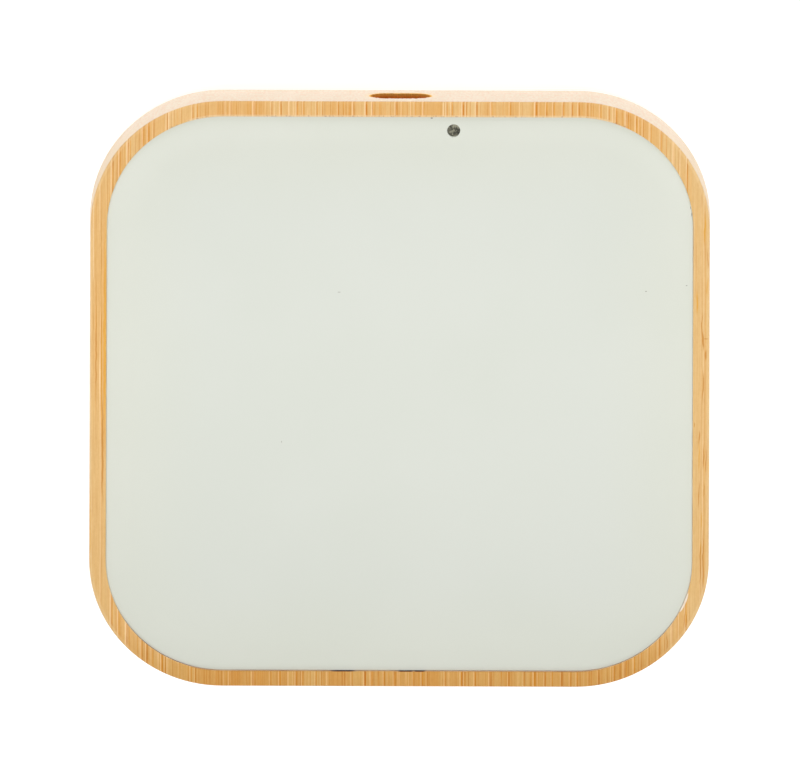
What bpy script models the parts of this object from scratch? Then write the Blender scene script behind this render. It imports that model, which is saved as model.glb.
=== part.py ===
"""A square wireless charging pad: a bamboo frame clamped between a crowned plastic top cover
and a flat base cover, with the charging coil and its electronics between them.

The pad stands on four rubber feet with +Z up and its cable port facing +Y. The origin is on
the surface that it stands on, under the middle of the frame. Lengths below are in millimetres,
and MM turns them into Blender's metres.
"""

import math

import bmesh
import bpy

MM = 0.001

# The frame: a ring with square sides, round corners and a ledge half way up its inner wall.
PAD_WIDTH = 100.0
CORNER_RADIUS = 21.5
FRAME_BOTTOM = 1.0
FRAME_HEIGHT = 6.5
FRAME_WALL = 2.6
FRAME_TOP_ROUND = 0.3
FRAME_UNDERSIDE_ROUND = 1.2
RIM_CHAMFER = 0.12
LEDGE_DEPTH = 1.0
LEDGE_BOTTOM = 2.4
LEDGE_TOP = 5.4

# The cable port: a slot in the wall, with the connector's mouth in a pocket behind it.
SLOT_WIDTH = 9.9
SLOT_HEIGHT = 2.6
SLOT_END = 2.6
PORT_BELOW_RIM = 2.65
PORT_SKIN = 1.25
POCKET_WIDTH = 10.3
POCKET_HEIGHT = 3.5

# The two covers.
COVER_GAP = 0.1
SEAT_GAP = 0.1
COVER_EDGE_ROUND = 0.25
CROWN_BAND = 5.2
CROWN_DROP = 0.6
CROWN_POWER = 3
CROWN_ABOVE_RIM = 0.35
TOP_COVER_THICKNESS = 1.2
SKIRT_THICKNESS = 0.9
SKIRT_ROOT = 6.2
CONNECTOR_RELIEF_TOP = 6.5
BASE_RECESS = 0.1
BASE_THICKNESS = 1.2
BASE_CHAMFER = 0.25

# The screws, the bosses that they join and the feet that hide them.
SCREW_OFFSET = 36.0
SCREW_RADIUS = 1.0
SCREW_HEAD_RADIUS = 1.9
SCREW_HEAD_BOTTOM = 1.55
SCREW_SEAT = 2.4
SCREW_TIP = 5.7
SCREW_CROSS_WIDTH = 0.45
SCREW_CROSS_DEPTH = 0.4
TOP_BOSS_RADIUS = 2.2
BASE_BOSS_RADIUS = 3.2
BASE_BOSS_TOP = 3.25
PILOT_RADIUS = 1.06
PILOT_TOP = 6.1
FOOT_RADIUS = 5.0
FOOT_TOP = 1.4
FOOT_EDGE = 0.35
FOOT_RECESS_RADIUS = 5.15
FOOT_RECESS_TOP = 1.45

# The circuit board and what is soldered to it.
BOARD_HALF_WIDTH = 28.0
BOARD_FRONT = 27.0
BOARD_BACK = 46.05
BOARD_BOTTOM = 2.4
BOARD_THICKNESS = 0.8
BOARD_CORNER = 1.5
SOLDER_GAP = 0.05
PIN_RADIUS = 0.8
PIN_X = 24.0
PIN_Y = 42.0
PIN_TOP = 4.0

# The port's connector, a sixteen-pin USB-C receptacle.
CONNECTOR_WIDTH = 8.94
CONNECTOR_HEIGHT = 3.16
CONNECTOR_DEPTH = 7.35
CONNECTOR_WALL = 0.3
CONNECTOR_MOUTH_GAP = 0.15
TONGUE_WIDTH = 6.7
TONGUE_HEIGHT = 0.7
TONGUE_BASE_DEPTH = 2.8
TONGUE_SETBACK = 0.7

# The status light.
LIGHT_X = 8.6
LIGHT_Y = 45.1
LIGHT_RADIUS = 1.06
LIGHT_HOLE_RADIUS = 1.1
LIGHT_SHOULDER_RADIUS = 1.25
LIGHT_SHOULDER_TOP = 6.2
LIGHT_BOTTOM = 3.95
LIGHT_TOP = 7.58
LIGHT_DOME = 0.06

# The coil and the layers above and below it.
COIL_INNER = 10.5
COIL_OUTER = 21.5
COIL_BOTTOM = 5.1
COIL_TOP = 6.35
ADHESIVE_TOP = 6.6
SHEET_GAP = 0.05
FERRITE_HALF = 25.0
FERRITE_BOTTOM = 4.2
FERRITE_TOP = 5.0
FERRITE_SLOT_LEFT = 3.1
FERRITE_SLOT_RIGHT = 6.1
FERRITE_SLOT_FRONT = 4.0
FOAM_HALF = 19.0
LEAD_RADIUS = 0.4
THERMISTOR_RADIUS = 0.9

# How finely round shapes are divided.
CORNER_STEPS = 10
ROUND_STEPS = 4
SMALL_CIRCLE = 16
LARGE_CIRCLE = 32
COIL_CIRCLE = 48

# Sizes that follow from the ones above.
PAD_HALF = PAD_WIDTH / 2
FRAME_TOP = FRAME_BOTTOM + FRAME_HEIGHT
COVER_INSET = FRAME_WALL + COVER_GAP
COVER_TOP = FRAME_TOP + CROWN_ABOVE_RIM
COVER_UNDERSIDE = COVER_TOP - TOP_COVER_THICKNESS
BASE_BOTTOM = FRAME_BOTTOM + BASE_RECESS
BASE_TOP = BASE_BOTTOM + BASE_THICKNESS
PORT_Z = FRAME_TOP - PORT_BELOW_RIM
POCKET_BACK = PAD_HALF - PORT_SKIN
BOARD_TOP = BOARD_BOTTOM + BOARD_THICKNESS
CONNECTOR_MOUTH = POCKET_BACK - CONNECTOR_MOUTH_GAP
CORNERS = ((1, 1), (-1, 1), (-1, -1), (1, -1))


def clear_scene():
    for thing in list(bpy.context.scene.objects):
        bpy.data.objects.remove(thing)


def material(name, colour, roughness, metallic=0.0):
    made = bpy.data.materials.new(name)
    made.use_nodes = True
    shader = made.node_tree.nodes["Principled BSDF"]
    shader.inputs["Base Color"].default_value = (*colour, 1.0)
    shader.inputs["Roughness"].default_value = roughness
    shader.inputs["Metallic"].default_value = metallic
    return made


# Outlines. Each is one loop of points, counterclockwise as seen from +Z.


def circle(radius, z, steps=SMALL_CIRCLE):
    turns = [2 * math.pi * i / steps for i in range(steps)]
    return [(radius * math.cos(t), radius * math.sin(t), z) for t in turns]


def rounded_rectangle(half_x, half_y, radius, z, steps=CORNER_STEPS):
    points = []
    for quarter, (side_x, side_y) in enumerate(CORNERS):
        centre_x = side_x * (half_x - radius)
        centre_y = side_y * (half_y - radius)
        for i in range(steps + 1):
            turn = math.pi / 2 * (quarter + i / steps)
            x = centre_x + radius * math.cos(turn)
            y = centre_y + radius * math.sin(turn)
            points.append((x, y, z))
    return points


def pad_outline(inset, z):
    """The pad's own outline, drawn in by inset all the way round."""
    half = PAD_HALF - inset
    return rounded_rectangle(half, half, CORNER_RADIUS - inset, z)


def stadium(width, height, z, end=None, steps=SMALL_CIRCLE):
    """A slot's outline: straight above and below, with a half ellipse of length end at each side."""
    end = height / 2 if end is None else end
    points = []
    for side in (1, -1):
        for i in range(steps + 1):
            turn = side * math.pi * (i / steps - 0.5)
            x = side * (width / 2 - end + end * math.cos(turn))
            points.append((x, height / 2 * math.sin(turn), z))
    return points


# Solids.


def add_object(name, mesh, finish, parent=None, place=(0, 0, 0), turn=(0, 0, 0)):
    thing = bpy.data.objects.new(name, mesh)
    bpy.context.scene.collection.objects.link(thing)
    thing.location = [length * MM for length in place]
    thing.rotation_euler = turn
    thing.parent = parent
    if finish is not None:
        mesh.materials.append(finish)
    return thing


def loft(name, loops, ring=False):
    """A mesh with its skin drawn through the loops: closed by a flat face at each end, or joined
    end to start when it is a ring."""
    shape = bmesh.new()
    rows = [[shape.verts.new([c * MM for c in point]) for point in loop] for loop in loops]
    pairs = list(zip(rows, rows[1:]))
    if ring:
        pairs.append((rows[-1], rows[0]))
    else:
        shape.faces.new(rows[0])
        shape.faces.new(rows[-1])
    count = len(rows[0])
    for lower, upper in pairs:
        for i in range(count):
            j = (i + 1) % count
            shape.faces.new((lower[i], lower[j], upper[j], upper[i]))
    bmesh.ops.recalc_face_normals(shape, faces=shape.faces)
    mesh = bpy.data.meshes.new(name)
    shape.to_mesh(mesh)
    shape.free()
    mesh.shade_smooth()
    mesh.set_sharp_from_angle(angle=math.radians(30))
    return mesh


def block(name, size_x, size_y, size_z):
    """A box that stands on its own origin."""
    half_x, half_y = size_x / 2, size_y / 2
    outline = [(-half_x, -half_y), (half_x, -half_y), (half_x, half_y), (-half_x, half_y)]
    mesh = loft(name, [[(x, y, z) for x, y in outline] for z in (0, size_z)])
    mesh.shade_flat()
    return mesh


def combine(thing, name, mesh, operation, place=(0, 0, 0), turn=(0, 0, 0)):
    """Cuts a hidden shape from thing, or joins it on, as a Boolean that stays live."""
    tool = add_object(f"tool_{thing.name}_{name}", mesh, None, None, place, turn)
    tool.hide_render = True
    tool.display_type = "WIRE"
    change = thing.modifiers.new(name, "BOOLEAN")
    change.operation = operation
    change.solver = "EXACT"
    change.object = tool


def cut(thing, name, mesh, place=(0, 0, 0), turn=(0, 0, 0)):
    combine(thing, name, mesh, "DIFFERENCE", place, turn)


def join(thing, name, mesh, place=(0, 0, 0), turn=(0, 0, 0)):
    combine(thing, name, mesh, "UNION", place, turn)


def cylinder(name, radius, bottom, top, steps=SMALL_CIRCLE):
    return loft(name, [circle(radius, bottom, steps), circle(radius, top, steps)])


def at_each_corner(offset):
    """(number, x, y) of the four places at this distance from both middle lines."""
    return [(i + 1, sx * offset, sy * offset) for i, (sx, sy) in enumerate(CORNERS)]


TO_PLUS_Y = (math.radians(-90), 0, 0)


# The case.


def quarter_round(inset, z, radius, start, steps=ROUND_STEPS):
    """(inset, z) points a quarter turn round a centre, from the angle start in quarter turns."""
    turns = [math.pi / 2 * (start + i / steps) for i in range(steps + 1)]
    return [(inset + radius * math.cos(t), z + radius * math.sin(t)) for t in turns]


def make_frame(pad):
    upper, lower = FRAME_TOP_ROUND, FRAME_UNDERSIDE_ROUND
    ledge = FRAME_WALL + LEDGE_DEPTH
    profile = [
        *quarter_round(upper, FRAME_TOP - upper, upper, 1, 2),
        *quarter_round(lower, FRAME_BOTTOM + lower, lower, 2),
        (FRAME_WALL, FRAME_BOTTOM),
        (FRAME_WALL, LEDGE_BOTTOM),
        (ledge, LEDGE_BOTTOM),
        (ledge, LEDGE_TOP),
        (FRAME_WALL, LEDGE_TOP),
        (FRAME_WALL, FRAME_TOP - RIM_CHAMFER),
        (FRAME_WALL - RIM_CHAMFER, FRAME_TOP),
    ]
    loops = [pad_outline(inset, z) for inset, z in profile]
    bamboo = material("bamboo", (0.80, 0.50, 0.19), 0.5)
    frame = add_object("bamboo_frame", loft("bamboo_frame", loops, ring=True), bamboo, pad)

    through = 3 * FRAME_WALL
    ends = [stadium(SLOT_WIDTH, SLOT_HEIGHT, z, SLOT_END) for z in (0, through)]
    cut(frame, "port_slot", loft("slot", ends), (0, PAD_HALF - FRAME_WALL, PORT_Z), TO_PLUS_Y)
    pocket = block("pocket", POCKET_WIDTH, 2 * FRAME_WALL, POCKET_HEIGHT)
    pocket_y = POCKET_BACK - FRAME_WALL
    cut(frame, "connector_pocket", pocket, (0, pocket_y, PORT_Z - POCKET_HEIGHT / 2))


def crown_profile():
    """(inset, z) points over the top cover, from its edge to where its flat middle starts."""
    points = []
    for distance in (COVER_EDGE_ROUND, 1.0, 2.0, 3.2, CROWN_BAND):
        fall = CROWN_DROP * (1 - distance / CROWN_BAND) ** CROWN_POWER
        points.append((COVER_INSET + distance, COVER_TOP - fall))
    edge = points[0][1] - COVER_EDGE_ROUND
    return [(COVER_INSET, edge)] + points


def make_top_cover(pad):
    skirt_inner = COVER_INSET + SKIRT_THICKNESS
    skirt_bottom = LEDGE_TOP + SEAT_GAP
    profile = [
        (COVER_INSET + CROWN_BAND, COVER_UNDERSIDE),
        (skirt_inner, SKIRT_ROOT),
        (skirt_inner, skirt_bottom),
        (COVER_INSET, skirt_bottom),
        *crown_profile(),
    ]
    loops = [pad_outline(inset, z) for inset, z in profile]
    plastic = material("cover_plastic", (0.75, 0.78, 0.69), 0.42)
    cover = add_object("top_cover", loft("top_cover", loops), plastic, pad)

    overlap = TOP_COVER_THICKNESS / 2
    boss_bottom = BASE_BOSS_TOP + SEAT_GAP
    for number, x, y in at_each_corner(SCREW_OFFSET):
        boss = cylinder("boss", TOP_BOSS_RADIUS, boss_bottom, COVER_UNDERSIDE + overlap)
        join(cover, f"boss_{number}", boss, (x, y, 0))
        pilot = cylinder("pilot", PILOT_RADIUS, boss_bottom - 1, PILOT_TOP)
        cut(cover, f"pilot_{number}", pilot, (x, y, 0))

    hole = cylinder("light_hole", LIGHT_HOLE_RADIUS, SKIRT_ROOT - 1, COVER_TOP + 1)
    cut(cover, "light_hole", hole, (LIGHT_X, LIGHT_Y, 0))
    relief_front = CONNECTOR_MOUTH - CONNECTOR_DEPTH - SEAT_GAP
    relief_depth = PAD_HALF - relief_front
    relief = block("relief", POCKET_WIDTH, relief_depth, CONNECTOR_RELIEF_TOP - LEDGE_TOP + 1)
    relief_y = relief_front + relief_depth / 2
    cut(cover, "connector_relief", relief, (0, relief_y, LEDGE_TOP - 1))


def make_base_cover(pad):
    profile = [
        (COVER_INSET + BASE_CHAMFER, BASE_BOTTOM),
        (COVER_INSET, BASE_BOTTOM + BASE_CHAMFER),
        (COVER_INSET, BASE_TOP),
    ]
    loops = [pad_outline(inset, z) for inset, z in profile]
    plastic = material("base_plastic", (0.72, 0.74, 0.67), 0.55)
    base = add_object("base_cover", loft("base_cover", loops), plastic, pad)

    inside = BASE_THICKNESS / 2
    for number, x, y in at_each_corner(SCREW_OFFSET):
        boss = cylinder("boss", BASE_BOSS_RADIUS, BASE_TOP - inside, BASE_BOSS_TOP)
        join(base, f"boss_{number}", boss, (x, y, 0))
        recess = cylinder("recess", FOOT_RECESS_RADIUS, 0, FOOT_RECESS_TOP, LARGE_CIRCLE)
        cut(base, f"foot_recess_{number}", recess, (x, y, 0))
        head_hole = cylinder("head_hole", SCREW_HEAD_RADIUS + 0.2, FRAME_BOTTOM, SCREW_SEAT)
        cut(base, f"head_hole_{number}", head_hole, (x, y, 0))
        shank_hole = cylinder("shank_hole", SCREW_RADIUS + 0.15, SCREW_SEAT - 0.5, PILOT_TOP)
        cut(base, f"shank_hole_{number}", shank_hole, (x, y, 0))
    for side in (1, -1):
        pin = cylinder("pin", PIN_RADIUS, BASE_TOP - inside, PIN_TOP)
        join(base, f"board_pin_{side}", pin, (side * PIN_X, PIN_Y, 0))


def make_screws(pad):
    steel = material("screw_steel", (0.56, 0.57, 0.58), 0.35, 1.0)
    head = SCREW_SEAT - SEAT_GAP / 2
    loops = [
        circle(SCREW_HEAD_RADIUS - 0.2, SCREW_HEAD_BOTTOM),
        circle(SCREW_HEAD_RADIUS, SCREW_HEAD_BOTTOM + 0.2),
        circle(SCREW_HEAD_RADIUS, head),
        circle(SCREW_RADIUS, head),
        circle(SCREW_RADIUS, SCREW_TIP - 0.5),
        circle(SCREW_RADIUS / 2, SCREW_TIP),
    ]
    for number, x, y in at_each_corner(SCREW_OFFSET):
        screw = add_object(f"screw_{number}", loft("screw", loops), steel, pad, (x, y, 0))
        for arm, turn in (("a", 0.0), ("b", math.pi / 2)):
            bar = block("bar", 2 * SCREW_RADIUS, SCREW_CROSS_WIDTH, 2 * SCREW_CROSS_DEPTH)
            bar_z = SCREW_HEAD_BOTTOM - SCREW_CROSS_DEPTH
            cut(screw, f"cross_{arm}", bar, (x, y, bar_z), (0, 0, turn))


def make_feet(pad):
    rubber = material("foot_rubber", (0.05, 0.05, 0.052), 0.75)
    loops = [
        circle(FOOT_RADIUS - FOOT_EDGE, 0, LARGE_CIRCLE),
        circle(FOOT_RADIUS, FOOT_EDGE, LARGE_CIRCLE),
        circle(FOOT_RADIUS, FOOT_TOP, LARGE_CIRCLE),
    ]
    for number, x, y in at_each_corner(SCREW_OFFSET):
        add_object(f"rubber_foot_{number}", loft("foot", loops), rubber, pad, (x, y, 0))


def make_light_pipe(pad):
    acrylic = material("light_pipe_acrylic", (0.20, 0.19, 0.15), 0.4)
    loops = [
        circle(LIGHT_SHOULDER_RADIUS, LIGHT_BOTTOM, LARGE_CIRCLE),
        circle(LIGHT_SHOULDER_RADIUS, LIGHT_SHOULDER_TOP, LARGE_CIRCLE),
        circle(LIGHT_RADIUS, LIGHT_SHOULDER_TOP, LARGE_CIRCLE),
        circle(LIGHT_RADIUS, LIGHT_TOP - LIGHT_DOME, LARGE_CIRCLE),
        circle(LIGHT_RADIUS * 0.8, LIGHT_TOP, LARGE_CIRCLE),
    ]
    pipe = loft("status_light_pipe", loops)
    add_object("status_light_pipe", pipe, acrylic, pad, (LIGHT_X, LIGHT_Y, 0))


# The board and its components.


def make_board(pad):
    fibreglass = material("board_green", (0.02, 0.16, 0.07), 0.45)
    half_y = (BOARD_BACK - BOARD_FRONT) / 2
    loops = [
        rounded_rectangle(BOARD_HALF_WIDTH, half_y, BOARD_CORNER, z, ROUND_STEPS)
        for z in (BOARD_BOTTOM, BOARD_TOP)
    ]
    middle = (0, BOARD_FRONT + half_y, 0)
    board = add_object("circuit_board", loft("circuit_board", loops), fibreglass, pad, middle)
    for side in (1, -1):
        hole = cylinder("pin_hole", PIN_RADIUS + 0.1, BOARD_BOTTOM - 1, BOARD_TOP + 1)
        cut(board, f"pin_hole_{side}", hole, (side * PIN_X, PIN_Y, 0))


def make_connector(pad):
    steel = material("connector_steel", (0.60, 0.61, 0.62), 0.28, 1.0)
    inner_width = CONNECTOR_WIDTH - 2 * CONNECTOR_WALL
    inner_height = CONNECTOR_HEIGHT - 2 * CONNECTOR_WALL
    loops = [
        stadium(CONNECTOR_WIDTH, CONNECTOR_HEIGHT, 0),
        stadium(CONNECTOR_WIDTH, CONNECTOR_HEIGHT, CONNECTOR_DEPTH),
        stadium(inner_width, inner_height, CONNECTOR_DEPTH),
        stadium(inner_width, inner_height, CONNECTOR_WALL),
    ]
    back = (0, CONNECTOR_MOUTH - CONNECTOR_DEPTH, PORT_Z)
    shell = loft("usb_c_shell", loops)
    add_object("usb_c_shell", shell, steel, pad, back, TO_PLUS_Y)

    black = material("connector_insulator", (0.02, 0.02, 0.022), 0.5)
    base_width, base_height = inner_width - 2 * SOLDER_GAP, inner_height - 2 * SOLDER_GAP
    tongue_tip = CONNECTOR_DEPTH - TONGUE_SETBACK
    loops = [
        stadium(base_width, base_height, CONNECTOR_WALL + SOLDER_GAP),
        stadium(base_width, base_height, TONGUE_BASE_DEPTH),
        stadium(TONGUE_WIDTH, TONGUE_HEIGHT, TONGUE_BASE_DEPTH),
        stadium(TONGUE_WIDTH, TONGUE_HEIGHT, tongue_tip),
    ]
    tongue = loft("usb_c_tongue", loops)
    add_object("usb_c_tongue", tongue, black, pad, back, TO_PLUS_Y)


def make_component(name, finish, pad, size, place):
    """A block with eased edges, soldered to the board's upper face."""
    part = add_object(name, block(name, *size), finish, pad, (*place, BOARD_TOP + SOLDER_GAP))
    ease = part.modifiers.new("eased_edges", "BEVEL")
    ease.width = 0.08 * MM
    ease.segments = 1


def make_components(pad):
    epoxy = material("chip_epoxy", (0.018, 0.018, 0.02), 0.5)
    make_component("controller_chip", epoxy, pad, (5.0, 5.0, 0.9), (-13.0, 36.0))
    for number, x in ((1, -5.0), (2, 0.5)):
        make_component(f"bridge_mosfet_{number}", epoxy, pad, (3.3, 3.3, 0.9), (x, 34.5))

    ceramic = material("capacitor_ceramic", (0.34, 0.22, 0.12), 0.45)
    for number in range(4):
        place = (11.0 + 4.0 * number, 33.0)
        make_component(f"resonant_capacitor_{number + 1}", ceramic, pad, (2.5, 3.2, 2.2), place)
    for number, x in ((1, -9.0), (2, -12.5)):
        make_component(f"input_capacitor_{number}", ceramic, pad, (1.6, 3.2, 1.6), (x, 42.5))

    resistor = material("resistor_glaze", (0.03, 0.03, 0.035), 0.35)
    make_component("current_sense_resistor", resistor, pad, (3.2, 1.6, 0.6), (-19.5, 36.0))
    lens = material("led_lens", (0.85, 0.85, 0.75), 0.3)
    make_component("status_led", lens, pad, (1.6, 0.8, 0.6), (LIGHT_X, LIGHT_Y))


# The coil and its layers.


def make_coil(pad):
    copper = material("coil_copper", (0.72, 0.30, 0.13), 0.35, 0.9)
    corners = (
        (COIL_INNER, COIL_BOTTOM),
        (COIL_OUTER, COIL_BOTTOM),
        (COIL_OUTER, COIL_TOP),
        (COIL_INNER, COIL_TOP),
    )
    loops = [circle(radius, z, COIL_CIRCLE) for radius, z in corners]
    add_object("charging_coil", loft("charging_coil", loops, ring=True), copper, pad)

    tape = material("adhesive_tape", (0.75, 0.74, 0.70), 0.6)
    bottom = COIL_TOP + SHEET_GAP
    corners = (
        (COIL_INNER, bottom),
        (COIL_OUTER, bottom),
        (COIL_OUTER, ADHESIVE_TOP),
        (COIL_INNER, ADHESIVE_TOP),
    )
    loops = [circle(radius, z, COIL_CIRCLE) for radius, z in corners]
    add_object("coil_adhesive_ring", loft("coil_adhesive_ring", loops, ring=True), tape, pad)


def make_ferrite(pad):
    dark = material("ferrite", (0.045, 0.042, 0.042), 0.6)
    loops = [
        rounded_rectangle(FERRITE_HALF, FERRITE_HALF, BOARD_CORNER, z, ROUND_STEPS)
        for z in (FERRITE_BOTTOM, FERRITE_TOP)
    ]
    ferrite = add_object("ferrite_shield", loft("ferrite_shield", loops), dark, pad)
    width = FERRITE_SLOT_RIGHT - FERRITE_SLOT_LEFT
    length = FERRITE_HALF - FERRITE_SLOT_FRONT + 1
    opening = block("opening", width, length, FERRITE_TOP - FERRITE_BOTTOM + 2)
    middle = (FERRITE_SLOT_LEFT + width / 2, FERRITE_SLOT_FRONT + length / 2, FERRITE_BOTTOM - 1)
    cut(ferrite, "lead_slot", opening, middle)

    foam = material("support_foam", (0.06, 0.06, 0.065), 0.95)
    bottom, top = BASE_TOP + SEAT_GAP, FERRITE_BOTTOM - SEAT_GAP
    loops = [
        rounded_rectangle(FOAM_HALF, FOAM_HALF, BOARD_CORNER, z, ROUND_STEPS)
        for z in (bottom, top)
    ]
    add_object("support_foam", loft("support_foam", loops), foam, pad)


def make_wire(name, finish, pad, radius, points):
    """A round wire on one smooth curve through the points, with closed ends."""
    line = bpy.data.curves.new(name, "CURVE")
    line.dimensions = "3D"
    line.bevel_depth = radius * MM
    line.bevel_resolution = 2
    line.resolution_u = 4
    line.use_fill_caps = True
    spline = line.splines.new("NURBS")
    spline.points.add(len(points) - 1)
    for knot, point in zip(spline.points, points):
        knot.co = (*[c * MM for c in point], 1.0)
    spline.order_u = 3
    spline.use_endpoint_u = True
    add_object(name, line, finish, pad)


def make_wires(pad):
    """Both coil leads and the thermistor's lead end on the board beside the bridge."""
    enamel = material("wire_enamel", (0.60, 0.22, 0.09), 0.35, 0.6)
    pad_y = BOARD_FRONT + 2.0
    end_z = BOARD_TOP + LEAD_RADIUS + SOLDER_GAP
    over_ferrite = FERRITE_TOP + LEAD_RADIUS + 0.25
    in_slot = FERRITE_BOTTOM + LEAD_RADIUS
    in_coil = COIL_BOTTOM + LEAD_RADIUS
    past_ferrite = FERRITE_HALF + 1.2

    outer_start = (-4.0, COIL_OUTER + 0.5, over_ferrite)
    outer_end = (-4.0, pad_y, end_z)
    route = [outer_start, (-4.0, FERRITE_HALF, over_ferrite),
             (-4.0, past_ferrite + 0.6, over_ferrite - 0.6), (-4.0, pad_y - 1.0, end_z), outer_end]
    make_wire("coil_lead_outer", enamel, pad, LEAD_RADIUS, route)

    x = FERRITE_SLOT_LEFT + 0.8
    dive = COIL_INNER - 3.5
    route = [(x, dive, in_coil), (x, dive + 1.0, in_slot), (x, dive + 2.0, in_slot),
             (x, past_ferrite, in_slot), (x, pad_y - 1.2, end_z), (x, pad_y, end_z)]
    make_wire("coil_lead_inner", enamel, pad, LEAD_RADIUS, route)

    sleeve = material("lead_sleeve", (0.8, 0.8, 0.78), 0.5)
    x = FERRITE_SLOT_RIGHT - 0.8
    bead_y = FERRITE_SLOT_FRONT + THERMISTOR_RADIUS
    bead_z = COIL_BOTTOM + THERMISTOR_RADIUS / 2
    dive = bead_y + THERMISTOR_RADIUS + 0.1
    route = [(x, dive, bead_z), (x, dive + 1.0, in_slot), (x, dive + 2.0, in_slot),
             (x, past_ferrite, in_slot), (x, pad_y - 1.2, end_z), (x, pad_y, end_z)]
    make_wire("thermistor_lead", sleeve, pad, LEAD_RADIUS, route)

    bead = material("thermistor_glass", (0.30, 0.10, 0.03), 0.25)
    turns = [math.pi * (i / 8 - 0.5) for i in range(1, 8)]
    loops = [
        circle(THERMISTOR_RADIUS * math.cos(t), THERMISTOR_RADIUS * math.sin(t)) for t in turns
    ]
    add_object("thermistor_bead", loft("thermistor_bead", loops), bead, pad, (x, bead_y, bead_z))


def main():
    clear_scene()
    pad = bpy.data.objects.new("charging_pad", None)
    bpy.context.scene.collection.objects.link(pad)
    make_frame(pad)
    make_top_cover(pad)
    make_base_cover(pad)
    make_screws(pad)
    make_feet(pad)
    make_light_pipe(pad)
    make_board(pad)
    make_connector(pad)
    make_components(pad)
    make_coil(pad)
    make_ferrite(pad)
    make_wires(pad)


main()
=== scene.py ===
# %% [markdown]
# # A bamboo wireless charging pad
#
# A phone is laid on this pad to charge. Its working parts are already designed and packed: a
# ring of laminated bamboo, an off-white cover over the coil, a base cover, feet, and a circuit
# board with a USB-C socket. This lesson loads them as a fixed frame and gives the ones that are
# seen their fine shape and their finish. Nothing of the design is moved: the visible pieces are
# built again, more finely, exactly where the frame has them.

# %% Load the frame and keep its box
import math

import bmesh
import bpy
from mathutils import Matrix, Vector, noise


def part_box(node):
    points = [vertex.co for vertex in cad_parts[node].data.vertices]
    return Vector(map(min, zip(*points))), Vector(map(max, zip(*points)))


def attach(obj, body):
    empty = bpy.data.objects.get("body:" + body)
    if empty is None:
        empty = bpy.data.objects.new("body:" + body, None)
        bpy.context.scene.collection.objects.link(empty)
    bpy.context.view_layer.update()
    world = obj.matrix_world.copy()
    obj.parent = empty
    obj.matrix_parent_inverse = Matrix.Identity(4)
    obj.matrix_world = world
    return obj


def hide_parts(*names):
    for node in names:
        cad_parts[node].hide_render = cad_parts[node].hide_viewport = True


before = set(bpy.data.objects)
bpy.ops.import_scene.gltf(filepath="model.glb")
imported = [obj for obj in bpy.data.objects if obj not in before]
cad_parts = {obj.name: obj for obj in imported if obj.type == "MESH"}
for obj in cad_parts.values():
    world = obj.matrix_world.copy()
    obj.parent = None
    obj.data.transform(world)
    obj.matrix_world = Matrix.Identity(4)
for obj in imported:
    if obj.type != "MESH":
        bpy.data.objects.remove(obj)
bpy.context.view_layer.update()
MM = 0.001
print("nodes in the frame:", len(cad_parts))

# %% [markdown]
# ## Sizes
#
# Every size comes from the frame where the frame knows it. The few that its boxes can't tell,
# such as the radius of the corners, are named here once, in metres.

# %% Read the main sizes
pad_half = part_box("bamboo_frame")[1].x
rim_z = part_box("bamboo_frame")[1].z
frame_bottom_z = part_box("bamboo_frame")[0].z
cover_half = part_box("top_cover")[1].x
crown_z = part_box("top_cover")[1].z
boss_bottom_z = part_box("top_cover")[0].z
socket_low, socket_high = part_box("usb_c_shell")
port_z = (socket_low.z + socket_high.z) / 2
pipe_low, pipe_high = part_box("status_light_pipe")
light_at = (pipe_low + pipe_high) / 2

corner_radius = 21.5 * MM
wall = 2.6 * MM
ledge_bottom_z = 2.4 * MM
ledge_top_z = 5.4 * MM
slot_width, slot_height, slot_end = 9.9 * MM, 2.6 * MM, 2.6 * MM
print("pad width in mm:", round(2 * pad_half / MM, 2), "rim height:", round(rim_z / MM, 2))
print("port centre height in mm:", round(port_z / MM, 2))

# %% [markdown]
# ## Camera
#
# A catalogue picture of such a flat thing is taken from almost straight above with a very long
# lens, so that its two long sides stay parallel. An orthographic camera does that exactly. It
# leans towards the side with the port, and the picture's up is the pad's +Y, so the port's face
# shows as a narrow strip along the top.

# %% Place the camera
VIEW_LEAN = math.radians(19.2)
VIEW_ROLL = math.radians(0.19)
VIEW_WIDTH = 129.05 * MM
VIEW_DISTANCE = 0.9
AIM_RIGHT, AIM_UP = 0.075 * MM, 0.90 * MM

towards_camera = Vector((0, math.sin(VIEW_LEAN), math.cos(VIEW_LEAN)))
level_up = Vector((0, math.cos(VIEW_LEAN), -math.sin(VIEW_LEAN)))
level_right = Vector((1, 0, 0))
right = level_right * math.cos(VIEW_ROLL) + level_up * math.sin(VIEW_ROLL)
up = level_up * math.cos(VIEW_ROLL) - level_right * math.sin(VIEW_ROLL)

lens = bpy.data.cameras.new("catalogue_camera")
lens.type = "ORTHO"
lens.ortho_scale = VIEW_WIDTH
camera = bpy.data.objects.new("catalogue_camera", lens)
bpy.context.scene.collection.objects.link(camera)
aim = Vector((0, 0, rim_z)) + right * AIM_RIGHT + up * AIM_UP
turn = Matrix((right, up, towards_camera)).transposed().to_4x4()
camera.matrix_world = Matrix.Translation(aim + towards_camera * VIEW_DISTANCE) @ turn
bpy.context.scene.camera = camera
print("camera stands at", [round(c, 3) for c in camera.matrix_world.translation])

# %% [markdown]
# ## Node helpers
#
# Materials are node trees, and a tree is easier to read as formulas than as boxes. These short
# functions add one node each and give back its output, so that they can be put inside each
# other. A number is typed into the socket, and another node's output is joined to it.

# %% Helpers for shader trees


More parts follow.
